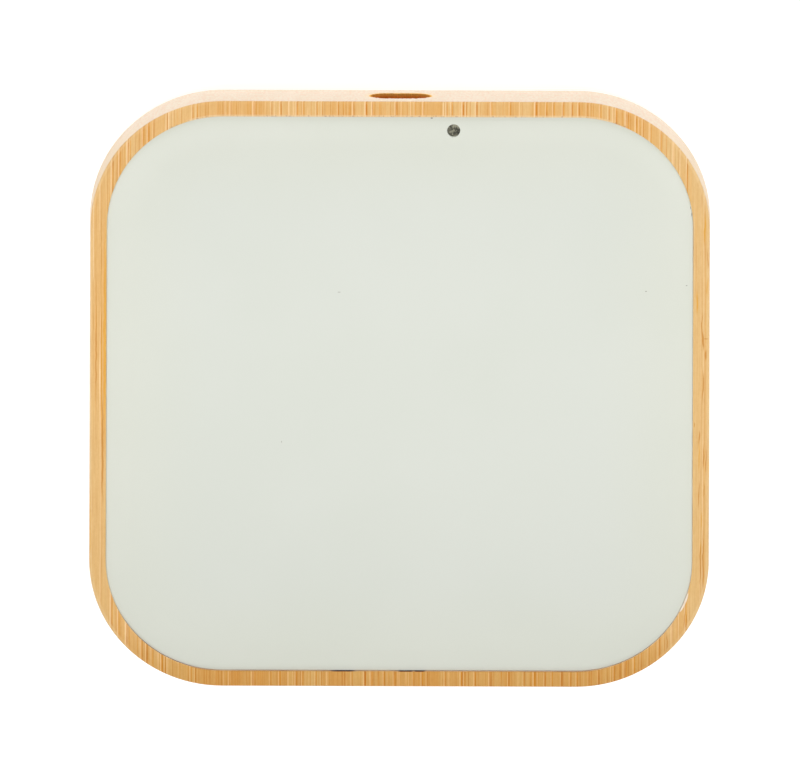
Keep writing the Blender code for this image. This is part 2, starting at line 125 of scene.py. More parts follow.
def feed(tree, socket, value):
    """Joins another node's output to a socket, or types a number, a vector or a colour into it."""
    if isinstance(value, bpy.types.NodeSocket):
        tree.links.new(value, socket)
    elif socket.type == "RGBA" and value is not None:
        socket.default_value = (*value, 1.0)
    elif value is not None:
        socket.default_value = value


def put(tree, kind, settings=None, **inputs):
    node = tree.nodes.new(kind)
    for name, value in (settings or {}).items():
        setattr(node, name, value)
    for name, value in inputs.items():
        feed(tree, node.inputs[name.replace("_", " ")], value)
    return node


def calc(tree, operation, first, second=None, third=None):
    node = put(tree, "ShaderNodeMath", {"operation": operation})
    for socket, value in zip(node.inputs, (first, second, third)):
        feed(tree, socket, value)
    return node.outputs[0]


def times(tree, first, second):
    return calc(tree, "MULTIPLY", first, second)


def times_plus(tree, first, second, third):
    """first x second + third"""
    return calc(tree, "MULTIPLY_ADD", first, second, third)


def minus(tree, first, second):
    return calc(tree, "SUBTRACT", first, second)


def larger(tree, first, second):
    return calc(tree, "MAXIMUM", first, second)


def size_of(tree, value):
    return calc(tree, "ABSOLUTE", value)


def vector_calc(tree, operation, first, second=None, third=None, output="Vector"):
    node = put(tree, "ShaderNodeVectorMath", {"operation": operation})
    for socket, value in zip(node.inputs, (first, second, third)):
        feed(tree, socket, value)
    return node.outputs[output]


def parts(tree, vector):
    return put(tree, "ShaderNodeSeparateXYZ", Vector=vector).outputs


def channels(tree, shade):
    return put(tree, "ShaderNodeSeparateColor", Color=shade).outputs


def mix(tree, share, first, second, mode="MIX"):
    node = put(tree, "ShaderNodeMix", {"data_type": "RGBA", "blend_type": mode})
    feed(tree, node.inputs[0], share)
    feed(tree, node.inputs[6], first)
    feed(tree, node.inputs[7], second)
    return node.outputs[2]


def ramp(tree, value, start, end, low=0.0, high=1.0):
    node = put(tree, "ShaderNodeMapRange", {"interpolation_type": "SMOOTHSTEP"})
    for socket, number in zip(node.inputs, (value, start, end, low, high)):
        feed(tree, socket, number)
    return node.outputs[0]


def fall(tree, value, start, end):
    """1 up to the start, 0 from the end on."""
    return ramp(tree, value, start, end, 1.0, 0.0)


def stretch(tree, vector, scale, shift=(0, 0, 0)):
    node = put(tree, "ShaderNodeMapping", Vector=vector, Scale=scale, Location=shift)
    return node.outputs[0]


def cloud(tree, vector, scale, detail=2.0, roughness=0.5):
    node = put(tree, "ShaderNodeTexNoise", Vector=vector, Scale=scale, Detail=detail,
               Roughness=roughness)
    return node.outputs[0]


def cells(tree, vector, scale):
    return put(tree, "ShaderNodeTexVoronoi", Vector=vector, Scale=scale)


print("helpers ready")

# %% Helpers for materials and groups


def new_group(name, inputs, outputs):
    """A shader group with number or vector sockets, and its two end nodes."""
    group = bpy.data.node_groups.new(name, "ShaderNodeTree")
    for label, kind, value in inputs:
        socket = group.interface.new_socket(label, in_out="INPUT", socket_type=kind)
        if value is not None:
            socket.default_value = value
    for label, kind in outputs:
        group.interface.new_socket(label, in_out="OUTPUT", socket_type=kind)
    start = group.nodes.new("NodeGroupInput").outputs
    end = group.nodes.new("NodeGroupOutput").inputs
    return group, start, end


def use_group(tree, group, **inputs):
    node = tree.nodes.new("ShaderNodeGroup")
    node.node_tree = group
    for name, value in inputs.items():
        feed(tree, node.inputs[name.replace("_", " ")], value)
    return node.outputs


def new_material(name, **sockets):
    """A material, its tree, its Principled shader and each point's place on the piece."""
    made = bpy.data.materials.new(name)
    made.use_nodes = True
    tree = made.node_tree
    shader = tree.nodes["Principled BSDF"]
    for label, value in sockets.items():
        shader.inputs[label.replace("_", " ")].default_value = value
    return made, tree, shader, put(tree, "ShaderNodeTexCoord").outputs["Object"]


def coat(tree, shader, base, roughness, height, depth, strength):
    """Joins colour, roughness and relief to the shader. depth is the relief's, in metres."""
    feed(tree, shader.inputs["Base Color"], base)
    if roughness is not None:
        feed(tree, shader.inputs["Roughness"], roughness)
    bump = put(tree, "ShaderNodeBump", Height=height, Distance=depth, Strength=strength)
    feed(tree, shader.inputs["Normal"], bump.outputs[0])


def add_object(name, data):
    made = bpy.data.objects.new(name, data)
    bpy.context.scene.collection.objects.link(made)
    return made


NUMBER, VECTOR = "NodeSocketFloat", "NodeSocketVector"
print("material helpers ready")

# %% [markdown]
# ## Floor and light
#
# The pad lies on a plain white light table. The table glows a little from inside, which keeps
# shadows faint and lights the pad's edges from below. The world gives even light all round, and
# for reflections alone it is dimmer in a spot almost overhead. One soft panel hangs low over the pad, so
# that the cover grows slightly darker away from it, and two weak ones stand on the port's side
# and on the far side.

# %% Make the light table
TABLE_HALF = 1.5
TABLE_GLOW = 0.82


def make_table():
    shape = bmesh.new()
    bmesh.ops.create_grid(shape, x_segments=1, y_segments=1, size=TABLE_HALF)
    mesh = bpy.data.meshes.new("light_table")
    shape.to_mesh(mesh)
    shape.free()
    table = add_object("light_table", mesh)
    made, tree, shader, spot = new_material(
        "table_white", Roughness=0.9, Specular_IOR_Level=0.0,
        Emission_Color=(1, 1, 1, 1), Emission_Strength=TABLE_GLOW,
    )
    haze = ramp(tree, cloud(tree, spot, 4.0), 0.3, 0.7)
    feed(tree, shader.inputs["Base Color"],
         mix(tree, haze, (0.41, 0.41, 0.41), (0.43, 0.43, 0.43)))
    clear = tree.nodes.new("ShaderNodeBsdfTransparent")
    side = tree.nodes.new("ShaderNodeNewGeometry").outputs["Backfacing"]
    either = tree.nodes.new("ShaderNodeMixShader")
    feed(tree, either.inputs[0], side)
    feed(tree, either.inputs[1], shader.outputs[0])
    feed(tree, either.inputs[2], clear.outputs[0])
    feed(tree, tree.nodes["Material Output"].inputs[0], either.outputs[0])
    mesh.materials.append(made)
    return table


table = make_table()
print("table is", 2 * TABLE_HALF, "m wide")

# %% Hang the lights
WORLD_LIGHT = 0.40
SHEEN_LOW, SHEEN_HIGH, SHEEN_EDGE = 0.20, 0.95, 0.45
SPOT_RADIUS, EDGE_START, EDGE_END = (math.cos(math.radians(turn)) for turn in (17, 18, 42))


def make_world():
    """Even light, plain white behind the pad, and for reflections a dimmer spot overhead."""
    world = bpy.data.worlds.new("studio")
    world.use_nodes = True
    tree = world.node_tree
    paths = tree.nodes.new("ShaderNodeLightPath").outputs
    direction = tree.nodes.new("ShaderNodeTexCoord").outputs["Generated"]
    overhead = (0, -math.sin(VIEW_LEAN), math.cos(VIEW_LEAN))
    towards = vector_calc(tree, "DOT_PRODUCT", direction, overhead, output="Value")
    near = ramp(tree, towards, SPOT_RADIUS, 1.0, SHEEN_HIGH, SHEEN_LOW)
    far = ramp(tree, towards, EDGE_END, EDGE_START, SHEEN_EDGE / SHEEN_HIGH, 1.0)
    strength = ramp(tree, paths["Is Glossy Ray"], 0.0, 1.0, WORLD_LIGHT, times(tree, near, far))
    strength = ramp(tree, paths["Is Camera Ray"], 0.0, 1.0, strength, 1.0)
    sky = tree.nodes["Background"]
    sky.inputs[0].default_value = (1, 1, 1, 1)
    feed(tree, sky.inputs[1], strength)
    return world


def make_panel(name, place, size, power, straight_down=False):
    """A soft panel that looks at the pad, or straight down, and stays out of the picture."""
    light = bpy.data.lights.new(name, "AREA")
    light.shape = "RECTANGLE"
    light.size, light.size_y = size
    light.energy = power
    panel = add_object(name, light)
    panel.location = place
    panel.rotation_mode = "QUATERNION"
    if not straight_down:
        panel.rotation_quaternion = Vector(place).to_track_quat("Z", "Y")
    panel.visible_camera = False
    panel.visible_glossy = False
    return panel


bpy.context.scene.world = make_world()
bpy.context.scene.view_settings.view_transform = "Standard"
make_panel("low_panel", (0.016, 0.011, 0.168), (0.62, 0.05), 0.421, straight_down=True)
make_panel("port_side_panel", (0.02, 0.50, 0.05), (0.5, 0.1), 0.55)
make_panel("far_side_panel", (0.02, -0.50, 0.03), (0.5, 0.1), 0.50)

# %% [markdown]
# ## Outlines and skins
#
# The frame, the cover and the base all follow one outline: a square with large round corners,
# drawn in by some distance and set at some height. A skin is drawn through a stack of such
# outlines. Many points along each side leave room for the small unevenness of a sanded edge.

# %% Helpers for the rounded outlines
CORNER_STEPS = 28
SIDE_STEPS = 64


def outline_points():
    """(x, y, direction) round the pad's outer edge, where direction is the outward unit vector."""
    reach = pad_half - corner_radius
    points = []
    for quarter in range(4):
        spin = Matrix.Rotation(quarter * math.pi / 2, 2)
        for step in range(CORNER_STEPS + 1):
            bend = math.pi / 2 * step / CORNER_STEPS
            outward = Vector((math.cos(bend), math.sin(bend)))
            centre = Vector((reach, reach))
            points.append((spin @ (centre + outward * corner_radius), spin @ outward))
        for step in range(1, SIDE_STEPS):
            along = Vector((reach - 2 * reach * step / SIDE_STEPS, pad_half))
            points.append((spin @ along, spin @ Vector((0, 1))))
    return points


EDGE = outline_points()


def outline(inset, z):
    """The outline drawn in by inset, which is a length or a function of the point's place."""
    points = []
    for place, outward in EDGE:
        depth = inset(place) if callable(inset) else inset
        inner = place - outward * depth
        points.append((inner.x, inner.y, z))
    return points


def circle(radius, z, steps=48, centre=(0, 0)):
    turns = [2 * math.pi * i / steps for i in range(steps)]
    return [(centre[0] + radius * math.cos(t), centre[1] + radius * math.sin(t), z)
            for t in turns]


def arc(inset, z, radius, start, end, steps=6):
    """(inset, z) points on part of a circle, from one angle to another, in degrees."""
    turns = [math.radians(start + (end - start) * i / steps) for i in range(steps + 1)]
    return [(inset + radius * math.cos(t), z + radius * math.sin(t)) for t in turns]


print("points in an outline:", len(EDGE))

# %% Helpers that make and finish a piece


def skin(name, loops, ring=False):
    """An object whose skin runs through the loops, closed flat at both ends or joined in a ring."""
    shape = bmesh.new()
    rows = [[shape.verts.new(point) for point in loop] for loop in loops]
    pairs = list(zip(rows, rows[1:]))
    if ring:
        pairs.append((rows[-1], rows[0]))
    else:
        shape.faces.new(rows[0])
        shape.faces.new(rows[-1])
    count = len(rows[0])
    for lower, upper in pairs:
        for i in range(count):
            j = (i + 1) % count
            shape.faces.new((lower[i], lower[j], upper[j], upper[i]))
    bmesh.ops.recalc_face_normals(shape, faces=shape.faces)
    mesh = bpy.data.meshes.new(name)
    shape.to_mesh(mesh)
    shape.free()
    return add_object(name, mesh)


def box(name, low, high):
    xs, ys, zs = zip(low, high)
    corners = [(xs[0], ys[0]), (xs[1], ys[0]), (xs[1], ys[1]), (xs[0], ys[1])]
    return skin(name, [[(x, y, z) for x, y in corners] for z in zs])


def shape_with(piece, operation, *tools):
    """Cuts each tool from the piece, or joins it on, and then throws the tool away."""
    for tool in tools:
        change = piece.modifiers.new("shape", "BOOLEAN")
        change.operation = operation
        change.solver = "EXACT"
        change.object = tool
        bake_modifiers(piece)
        bpy.data.objects.remove(tool)


def bake_modifiers(piece):
    """Turns the evaluated piece into its plain mesh and clears its modifiers."""
    bpy.context.view_layer.update()
    graph = bpy.context.evaluated_depsgraph_get()
    made = bpy.data.meshes.new_from_object(piece.evaluated_get(graph))
    piece.modifiers.clear()
    piece.data = made


def finish_piece(piece, material=None, stands_for=(), sharp=30):
    """Shades the piece, gives it its material and ties it to the frame."""
    if material is not None:
        piece.data.materials.clear()
        piece.data.materials.append(material)
    piece.data.shade_smooth()
    piece.data.set_sharp_from_angle(angle=math.radians(sharp))
    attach(piece, "root")
    if stands_for:
        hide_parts(*stands_for)
    print(piece.name, "has", len(piece.data.polygons), "faces")
    return piece


# %% [markdown]
# ## Bamboo
#
# The ring is cut from a board of laminated bamboo. Its fibres run along Y, so the upper face
# shows long streaks: sharp honey-coloured lines a fraction of a millimetre wide, paler lines
# between them and strips of slightly different tone. Lines at uneven distances are what a
# one-dimensional Voronoi texture gives: each of its cells has one centre and its own random
# colour, which here decides how wide and how strong that cell's line is.

# %% Build the grain group
STRIP_WIDTH = 0.0021
PALE_SHIFT = 0.00024
# Spacing and width in metres, the share of lines that show, and a seed. The first pale lines
# take the seed of the strong dark ones, so each lies beside one.
STRONG_LINES = (0.0012, 0.00040, 0.74, 3.1)
FINE_LINES = (0.00045, 0.00015, 0.64, 11.7)
PALE_BESIDE = (0.0012, 0.00028, 0.74, 3.1)
PALE_LINES = (0.0016, 0.00028, 0.45, 23.9)


def fibre_lines(group, across, fade, spacing, width, share, seed):
    """Thin lines, on average one per spacing. share of them show, each with its own width."""
    place = times_plus(group, across, 1 / spacing, seed)
    line = put(group, "ShaderNodeTexVoronoi", {"voronoi_dimensions": "1D"}, W=place, Scale=1.0)
    own = channels(group, line.outputs["Color"])
    half = times(group, own[0], width / spacing / 2)
    half = calc(group, "ADD", half, width / spacing / 6)
    near = fall(group, line.outputs["Distance"], times(group, half, 0.55), half)
    chosen = ramp(group, calc(group, "ADD", own[1], fade), 1 - share, 1.06 - share)
    return times(group, times(group, near, chosen), times_plus(group, own[2], 0.45, 0.55))


def build_grain_group():
    group, start, end = new_group(
        "Bamboo Grain",
        [("Vector", VECTOR, None), ("Drift", NUMBER, 0.0007), ("Fibre Scale", NUMBER, 5200.0)],
        [("Tone", NUMBER), ("Dark Lines", NUMBER), ("Pale Lines", NUMBER), ("Fibre", NUMBER)],
    )
    place = parts(group, start["Vector"])
    bend = minus(group, cloud(group, start["Vector"], 24.0, 1.0), 0.5)
    across = times_plus(group, bend, start["Drift"], place[0])
    across = times_plus(group, place[2], 0.7, across)
    spots = stretch(group, start["Vector"], (900.0, 28.0, 300.0))
    fade = minus(group, cloud(group, spots, 1.0, 1.0), 0.5)

    strip = put(group, "ShaderNodeTexVoronoi", {"voronoi_dimensions": "1D", "feature": "SMOOTH_F1"},
                W=times_plus(group, across, 1 / STRIP_WIDTH, 7.3), Scale=1.0, Smoothness=0.6)
    broad = cloud(group, stretch(group, start["Vector"], (420.0, 9.0, 200.0)), 1.0, 2.0)
    tone = channels(group, strip.outputs["Color"])[0]
    tone = times_plus(group, tone, 0.34, times(group, broad, 1.0))
    feed(group, end["Tone"], ramp(group, tone, 0.30, 1.05))

    strong = fibre_lines(group, across, fade, *STRONG_LINES)
    fine = times(group, fibre_lines(group, across, fade, *FINE_LINES), 0.80)
    feed(group, end["Dark Lines"], larger(group, strong, fine))
    beside = calc(group, "ADD", across, PALE_SHIFT)
    pale = larger(group, fibre_lines(group, beside, fade, *PALE_BESIDE),
                  fibre_lines(group, across, fade, *PALE_LINES))
    feed(group, end["Pale Lines"], pale)

    threads = stretch(group, start["Vector"], (1.0, 0.035, 0.8))
    feed(group, end["Fibre"], cloud(group, threads, start["Fibre Scale"], 2.0, 0.6))
    return group


GRAIN = build_grain_group()
print("grain group has", len(GRAIN.nodes), "nodes")

# %% [markdown]
# The frame's side was sanded after the board was cut and never oiled, and its colours hold painted
# light, the wash of a strong light from behind, so it is much paler than the rim. On the port's face
# the fibres end, and it shows fine dots. The port was cut out with a laser: its walls are scorched
# brown, with painted shade making them darker the deeper they lie, and a thin halo below it.

# %% Build the slot's distance group


def build_slot_group():
    """How far a point lies outside the port slot's outline, in metres, and how deep in the wall."""
    group, start, end = new_group(
        "Port Distance", [("Vector", VECTOR, None)], [("Outside", NUMBER), ("Depth", NUMBER)]
    )
    place = parts(group, start["Vector"])
    beyond = minus(group, size_of(group, place[0]), slot_width / 2 - slot_end)
    across = times(group, larger(group, beyond, 0.0), slot_height / 2 / slot_end)
    above = size_of(group, minus(group, place[2], port_z))
    square = calc(group, "ADD", calc(group, "POWER", across, 2.0), calc(group, "POWER", above, 2.0))
    distance = minus(group, calc(group, "SQRT", square), slot_height / 2)
    feed(group, end["Outside"], distance)
    feed(group, end["Depth"], minus(group, pad_half, place[1]))
    return group


SLOT_FIELD = build_slot_group()
print("slot group ready")

# %% Build the rim's distance group


def build_rim_group():
    """How far a point lies inside the pad's outer edge, in metres."""
    group, start, end = new_group("Rim Distance", [("Vector", VECTOR, None)], [("Inset", NUMBER)])
    reach = pad_half - corner_radius
    size = vector_calc(group, "ABSOLUTE", start["Vector"])
    past = vector_calc(group, "SUBTRACT", size, (reach, reach, 1.0))
    round_part = vector_calc(group, "MAXIMUM", past)
    far = vector_calc(group, "LENGTH", round_part, output="Value")
    feed(group, end["Inset"], minus(group, corner_radius, far))
    return group


RIM_FIELD = build_rim_group()
print("rim group ready")

# %% Place the single marks


def fleck(tree, vector, place, size, turn=0):
    """A pointed fleck along Y, turned by some degrees: 1 at its place, 0 outside."""
    level = put(tree, "ShaderNodeMapping", {"vector_type": "TEXTURE"}, Vector=vector,
                Location=(*place, 0.0), Scale=(*size, 1000.0))
    level.inputs["Rotation"].default_value = (0.0, 0.0, -math.radians(turn))
    far = vector_calc(tree, "LENGTH", level.outputs[0], output="Value")
    return fall(tree, far, 0.35, 1.0)


# Where the joint stands open on the side away from the port: middle along X, and length.
OPEN_GAPS = ((-9.0 * MM, 4.4 * MM), (1.1 * MM, 2.8 * MM), (3.4 * MM, 2.1 * MM))
DARK_MARKS = (  # centre and half size in millimetres, as in the lists below
    ((49.65, 23.2), (0.14, 2.2)), ((48.75, 12.0), (0.10, 2.9)), ((48.93, 9.4), (0.22, 2.2)),
    ((49.40, 9.6), (0.55, 0.12)), ((49.38, 6.8), (0.22, 1.2)), ((48.95, 1.6), (0.14, 3.8)),
    ((47.60, -5.1), (0.10, 0.6)), ((48.35, -7.4), (0.14, 1.8)), ((49.05, -10.6), (0.13, 2.6)),
    ((49.50, -11.4), (0.14, 3.2)), ((48.35, -17.0), (0.11, 3.4)), ((49.15, -16.2), (0.10, 1.7)),
    ((49.05, -28.8), (0.17, 7.0)), ((48.60, -28.6), (0.14, 5.0)), ((46.05, -38.6), (0.10, 2.4)),
    ((46.40, -38.8), (0.09, 2.2)), ((43.25, -42.3), (0.13, 2.2)), ((-48.95, 8.0), (0.10, 15.0)),
    ((-49.46, 12.0), (0.07, 12.0)), ((-47.88, -9.5), (0.19, 12.5)), ((-48.20, 24.0), (0.07, 9.0)),
)
GOLDEN_MARKS = (
    ((49.15, 28.2), (0.22, 3.4)), ((49.62, 18.5), (0.15, 2.3)), ((47.96, 15.8), (0.18, 2.6)),
    ((48.35, -10.5), (0.12, 4.0)), ((49.86, -12.5), (0.14, 2.4)), ((48.80, -21.5), (0.11, 2.3)),
    ((48.60, -26.5), (0.14, 2.2)), ((-47.58, 10.0), (0.30, 25.0)), ((-48.10, 4.0), (0.12, 12.0)),
    ((-49.80, -24.0), (0.14, 12.0)),
)


def make_marks(tree, vector, marks):
    """How strongly any of the marks covers a point. The list is in millimetres."""
    found = 0.0
    for (x, y), (half_x, half_y) in marks:
        mark = fleck(tree, vector, (x * MM, y * MM), (half_x * MM, half_y * MM))
        found = larger(tree, found, mark)
    return found


print("single marks:", len(DARK_MARKS), "dark and", len(GOLDEN_MARKS), "golden")

# %% Colour the rim and the side
HONEY = (0.768, 0.425, 0.134), (0.815, 0.552, 0.250)
STAIN = (0.640, 0.235, 0.026), (0.760, 0.345, 0.052)
PALE_LINE, GOLDEN_MARK = (0.940, 0.700, 0.410), (0.775, 0.380, 0.048)
DARK_MARK, SPECK = (0.620, 0.250, 0.035), (0.42, 0.23, 0.19)
# The paler edge colour on the next line is painted highlight: the rim's rounded outer edge catching
# light.
PORT_LIP, EDGE_HIGHLIGHT = (0.86, 0.66, 0.42), (0.93, 0.70, 0.40)
# The first colour on the next line is painted shade: dark brown along the rim's inner edge on the side
# away from the port.
FAR_EDGE_SHADE, CHIPPED = (0.42, 0.22, 0.09), (0.90, 0.78, 0.64)
THREADS = (0.945, 0.890, 0.800), (1.050, 1.095, 1.170)
# The second tint on the next line is painted shade: the rim darker and more saturated on the side away
# from the port.
PORT_TINT, FAR_SIDE_SHADE = (1.030, 1.000, 0.960), (0.86, 0.75, 0.54)
CALM_TINT = (0.980, 0.990, 1.0)
# The side's colours below are paler than the wood alone: painted light, the wash of a strong light from
# behind.
END_GRAIN = (0.915, 0.760, 0.595), (0.945, 0.797, 0.640)
END_DOT, END_BLOTCH = (0.80, 0.56, 0.36), (0.93, 0.665, 0.485)
END_PALE = (0.97, 0.860, 0.700)
LONG_SIDE = (0.885, 0.715, 0.520), (0.925, 0.765, 0.580)
SIDE_LINE = (0.74, 0.47, 0.23)


def make_rim_colour(tree, spot, place, inset, grain):
    """Oiled wood: body, lines, single marks, an outer edge with painted highlight, a far inner edge and
    far side with painted shade, and tints.
    """
    low_left = times(tree, fall(tree, place[0], -0.0472, -0.0465),
                     fall(tree, place[1], -0.012, 0.004))
    calm = larger(tree, ramp(tree, place[0], 0.0465, 0.0472), low_left)
    tone = times_plus(tree, minus(tree, 0.62, grain["Tone"]), times(tree, calm, 0.65), grain["Tone"])
    away = times(tree, ramp(tree, place[1], -0.049, -0.040),
                 ramp(tree, place[1], 0.036, 0.0475, 1.0, 0.25))
    # Painted highlight: along the rim's outer edge, where its rounding catches light, the wood is made
    # paler and its lines fainter, most on the left and right, less at the port, not on the far side.
    wear_and_highlight = times(tree, fall(tree, inset, 0.40 * MM, 0.62 * MM), away)
    line = times(tree, grain["Dark Lines"], times_plus(tree, wear_and_highlight, -0.60, 1.0))
    line = times(tree, line, times_plus(tree, calm, -0.68, 1.0))
    stain = mix(tree, ramp(tree, grain["Fibre"], 0.40, 0.60), *STAIN)
    body = mix(tree, line, mix(tree, tone, *HONEY), stain)
    pale = times(tree, grain["Pale Lines"], times_plus(tree, calm, -0.40, 0.75))
    body = mix(tree, pale, body, PALE_LINE)

    bends = put(tree, "ShaderNodeTexNoise", Vector=spot, Scale=420.0, Detail=1.0).outputs["Color"]
    back = stretch(tree, spot, (1, 1, 1), (-0.0002, 0.0, 0.0))
    wavy = vector_calc(tree, "MULTIPLY_ADD", bends, (0.0004, 0.0, 0.0), back)
    for marks, shade in ((GOLDEN_MARKS, GOLDEN_MARK), (DARK_MARKS, DARK_MARK)):
        body = mix(tree, times(tree, make_marks(tree, wavy, marks), 0.85), body, shade)

    port_side = times(tree, inset, ramp(tree, place[1], 0.044, 0.047))
    body = mix(tree, ramp(tree, port_side, 2.25 * MM, 2.50 * MM, 0.0, 0.6), body, PORT_LIP)
    # Painted highlight along the rim's outer edge.
    body = mix(tree, times(tree, wear_and_highlight, 0.24), body, EDGE_HIGHLIGHT)
    # Painted shade: a patchy dark brown along the rim's inner edge on the side away from the port, where
    # the edge faces the gap.
    far_side = times(tree, inset, ramp(tree, place[1], -0.044, -0.047))
    patchy = ramp(tree, cloud(tree, spot, 130.0), 0.38, 0.60, 0.45, 1.0)
    far_edge_shade = times(tree, ramp(tree, far_side, 2.46 * MM, 2.62 * MM, 0.0, 0.55), patchy)
    body = mix(tree, far_edge_shade, body, FAR_EDGE_SHADE)
    specks = times(tree, ramp(tree, cloud(tree, spot, 2600.0, 1.0), 0.58, 0.66),
                   ramp(tree, place[1], 0.044, 0.046, 0.0, 0.55))
    specks = times(tree, specks, ramp(tree, inset, 2.38 * MM, 2.52 * MM))
    body = mix(tree, specks, body, SPECK)
    chip = fleck(tree, spot, (45.97 * MM, -35.45 * MM), (0.42 * MM, 2.3 * MM), 22)
    body = mix(tree, ramp(tree, chip, 0.2, 0.5), body, CHIPPED)

    pores = cloud(tree, stretch(tree, spot, (1.0, 0.45, 1.0)), 3400.0, 2.0, 0.7)
    threads = ramp(tree, grain["Fibre"], 0.25, 0.75, 0.0, 0.60)
    threads = times_plus(tree, ramp(tree, pores, 0.2, 0.8), 0.40, threads)
    tint = mix(tree, ramp(tree, place[1], 0.040, 0.047), (1.0, 1.0, 1.0), PORT_TINT)
    # Painted shade: the rim darker and more saturated towards the side away from the port.
    tint = mix(tree, fall(tree, place[1], -0.0478, -0.038), tint, FAR_SIDE_SHADE)
    body = mix(tree, 1.0, body, tint, "MULTIPLY")
    body = mix(tree, calm, body, CALM_TINT, "MULTIPLY")
    return mix(tree, 1.0, body, mix(tree, threads, *THREADS), "MULTIPLY")


def make_side_colour(tree, spot, grain, facing):
    """Pale sanded wood, its colours holding painted light, a strong light's wash: fine dots where the
    fibres end, faint long lines on the other sides.
    """
    dots = cells(tree, stretch(tree, spot, (1.0, 0.2, 1.0)), 3400.0).outputs["Distance"]
    bundle = times(tree, fall(tree, dots, 0.08, 0.40), 0.36)
    ends = mix(tree, bundle, mix(tree, grain["Tone"], *END_GRAIN), END_DOT)
    blotch = cloud(tree, stretch(tree, spot, (1.0, 1.0, 0.55)), 2300.0, 1.0)
    ends = mix(tree, ramp(tree, blotch, 0.50, 0.66, 0.0, 0.42), ends, END_BLOTCH)
    ends = mix(tree, ramp(tree, blotch, 0.34, 0.46, 0.40, 0.0), ends, END_PALE)
    lines = times(tree, grain["Dark Lines"], 0.30)
    side = mix(tree, lines, mix(tree, grain["Tone"], *LONG_SIDE), SIDE_LINE)
    return mix(tree, ramp(tree, size_of(tree, facing[1]), 0.45, 0.85), side, ends)


print("rim and side colours ready")

# %% Make the bamboo
# The joint's colours: brown glue with painted shade where the joint is closed, and painted shadow on the
# wall and its lip where it stands open.
JOINT_GLUE_AND_SHADE = (0.58, 0.34, 0.17), (0.40, 0.18, 0.075)
OPEN_GAP_SHADOW, OPEN_LIP_SHADOW = (0.050, 0.018, 0.020), (0.100, 0.036, 0.030)
PALE_FRINGE = (0.98, 0.72, 0.38)
# The scorch colours and the streak colour on the next line carry painted shade: the second scorch colour
# is the darker one deep in the slot.
CHAR_AND_SHADE, SOOT_AND_SHADE = ((1.0, 0.56, 0.120), (1.0, 0.295, 0.040)), (0.56, 0.105, 0.010)


def make_gap_mask(tree, place):
    """1 where the rim stands open from the cover on the side away from the port, 0 elsewhere."""
    found = 0.0
    for middle, length in OPEN_GAPS:
        away = size_of(tree, minus(tree, place[0], middle))
        here = fall(tree, away, 0.25 * length, 0.50 * length)
        found = larger(tree, found, here)
    return times(tree, found, ramp(tree, place[1], -0.044, -0.046))


def add_joint(tree, spot, place, inset, facing, normal, surface):
    """Brown glue and painted shade on the rim's inner wall, most where it faces +Y, and painted shadow
    on the wall and its lip where the joint with the cover is open.
    """
    flat = vector_calc(tree, "MULTIPLY", spot, (1.0, 1.0, 0.0))
    inward = vector_calc(tree, "DOT_PRODUCT", flat, normal, output="Value")
    # Painted shade with glue brown on the rim's inner wall just below its top, strongest on walls that
    # face +Y.
    joint_glue_and_shade = times(tree, fall(tree, inward, -0.030, -0.012),
                   ramp(tree, place[2], rim_z - 0.02 * MM, rim_z - 0.10 * MM))
    joint_glue_and_shade = times(tree, joint_glue_and_shade, ramp(tree, facing[1], 0.25, 0.75, 0.12, 1.0))
    wide_open = make_gap_mask(tree, place)
    closed = mix(tree, ramp(tree, cloud(tree, spot, 130.0), 0.38, 0.60), *JOINT_GLUE_AND_SHADE)
    surface = mix(tree, joint_glue_and_shade, surface, mix(tree, wide_open, closed, OPEN_GAP_SHADOW))
    # Painted shadow on the rim's lip where the joint stands open.
    lip = times(tree, ramp(tree, inset, 2.56 * MM, 2.62 * MM), wide_open)
    return mix(tree, lip, surface, OPEN_LIP_SHADOW)


def add_burn(tree, spot, place, upright, surface):
    """A soft paler fringe below the slot, and the laser's traces: a thin halo below it, scorched walls
    and sooty streaks, which painted shade makes darker the deeper they lie.
    """
    port = use_group(tree, SLOT_FIELD, Vector=spot)
    ragged = minus(tree, cloud(tree, spot, 5200.0, 2.0), 0.5)
    outside = times_plus(tree, ragged, 0.00016, port["Outside"])
    low_side = fall(tree, place[2], port_z + 0.4 * MM, port_z + 0.9 * MM)
    halo = times(tree, fall(tree, outside, 0.00001, 0.00012), low_side)
    # A soft paler fringe on the face below the slot.
    pale_fringe = times(tree, ramp(tree, port["Outside"], 0.0, 0.8 * MM, 0.32, 0.0), low_side)
    surface = mix(tree, times(tree, pale_fringe, upright), surface, PALE_FRINGE)
    in_wall = times(tree, ramp(tree, port["Depth"], 0.00002, 0.00005),
                    fall(tree, outside, 0.0004, 0.0005))
    scorch = times(tree, larger(tree, halo, in_wall),
                   fall(tree, port["Depth"], 0.0028, 0.0030))
    # Painted shade: the scorched walls and their sooty streaks grow darker the deeper they lie in the
    # slot.
    char_and_shade = mix(tree, ramp(tree, port["Depth"], 0.0, 0.0008), *CHAR_AND_SHADE)
    streaks = cloud(tree, stretch(tree, spot, (1.0, 0.18, 1.0)), 3300.0, 3.0, 0.65)
    soot_and_shade = times(tree, ramp(tree, streaks, 0.42, 0.68, 0.0, 0.45),
                 ramp(tree, port["Depth"], 0.0003, 0.0008, 0.15, 1.0))
    return mix(tree, scorch, surface, mix(tree, soot_and_shade, char_and_shade, SOOT_AND_SHADE))


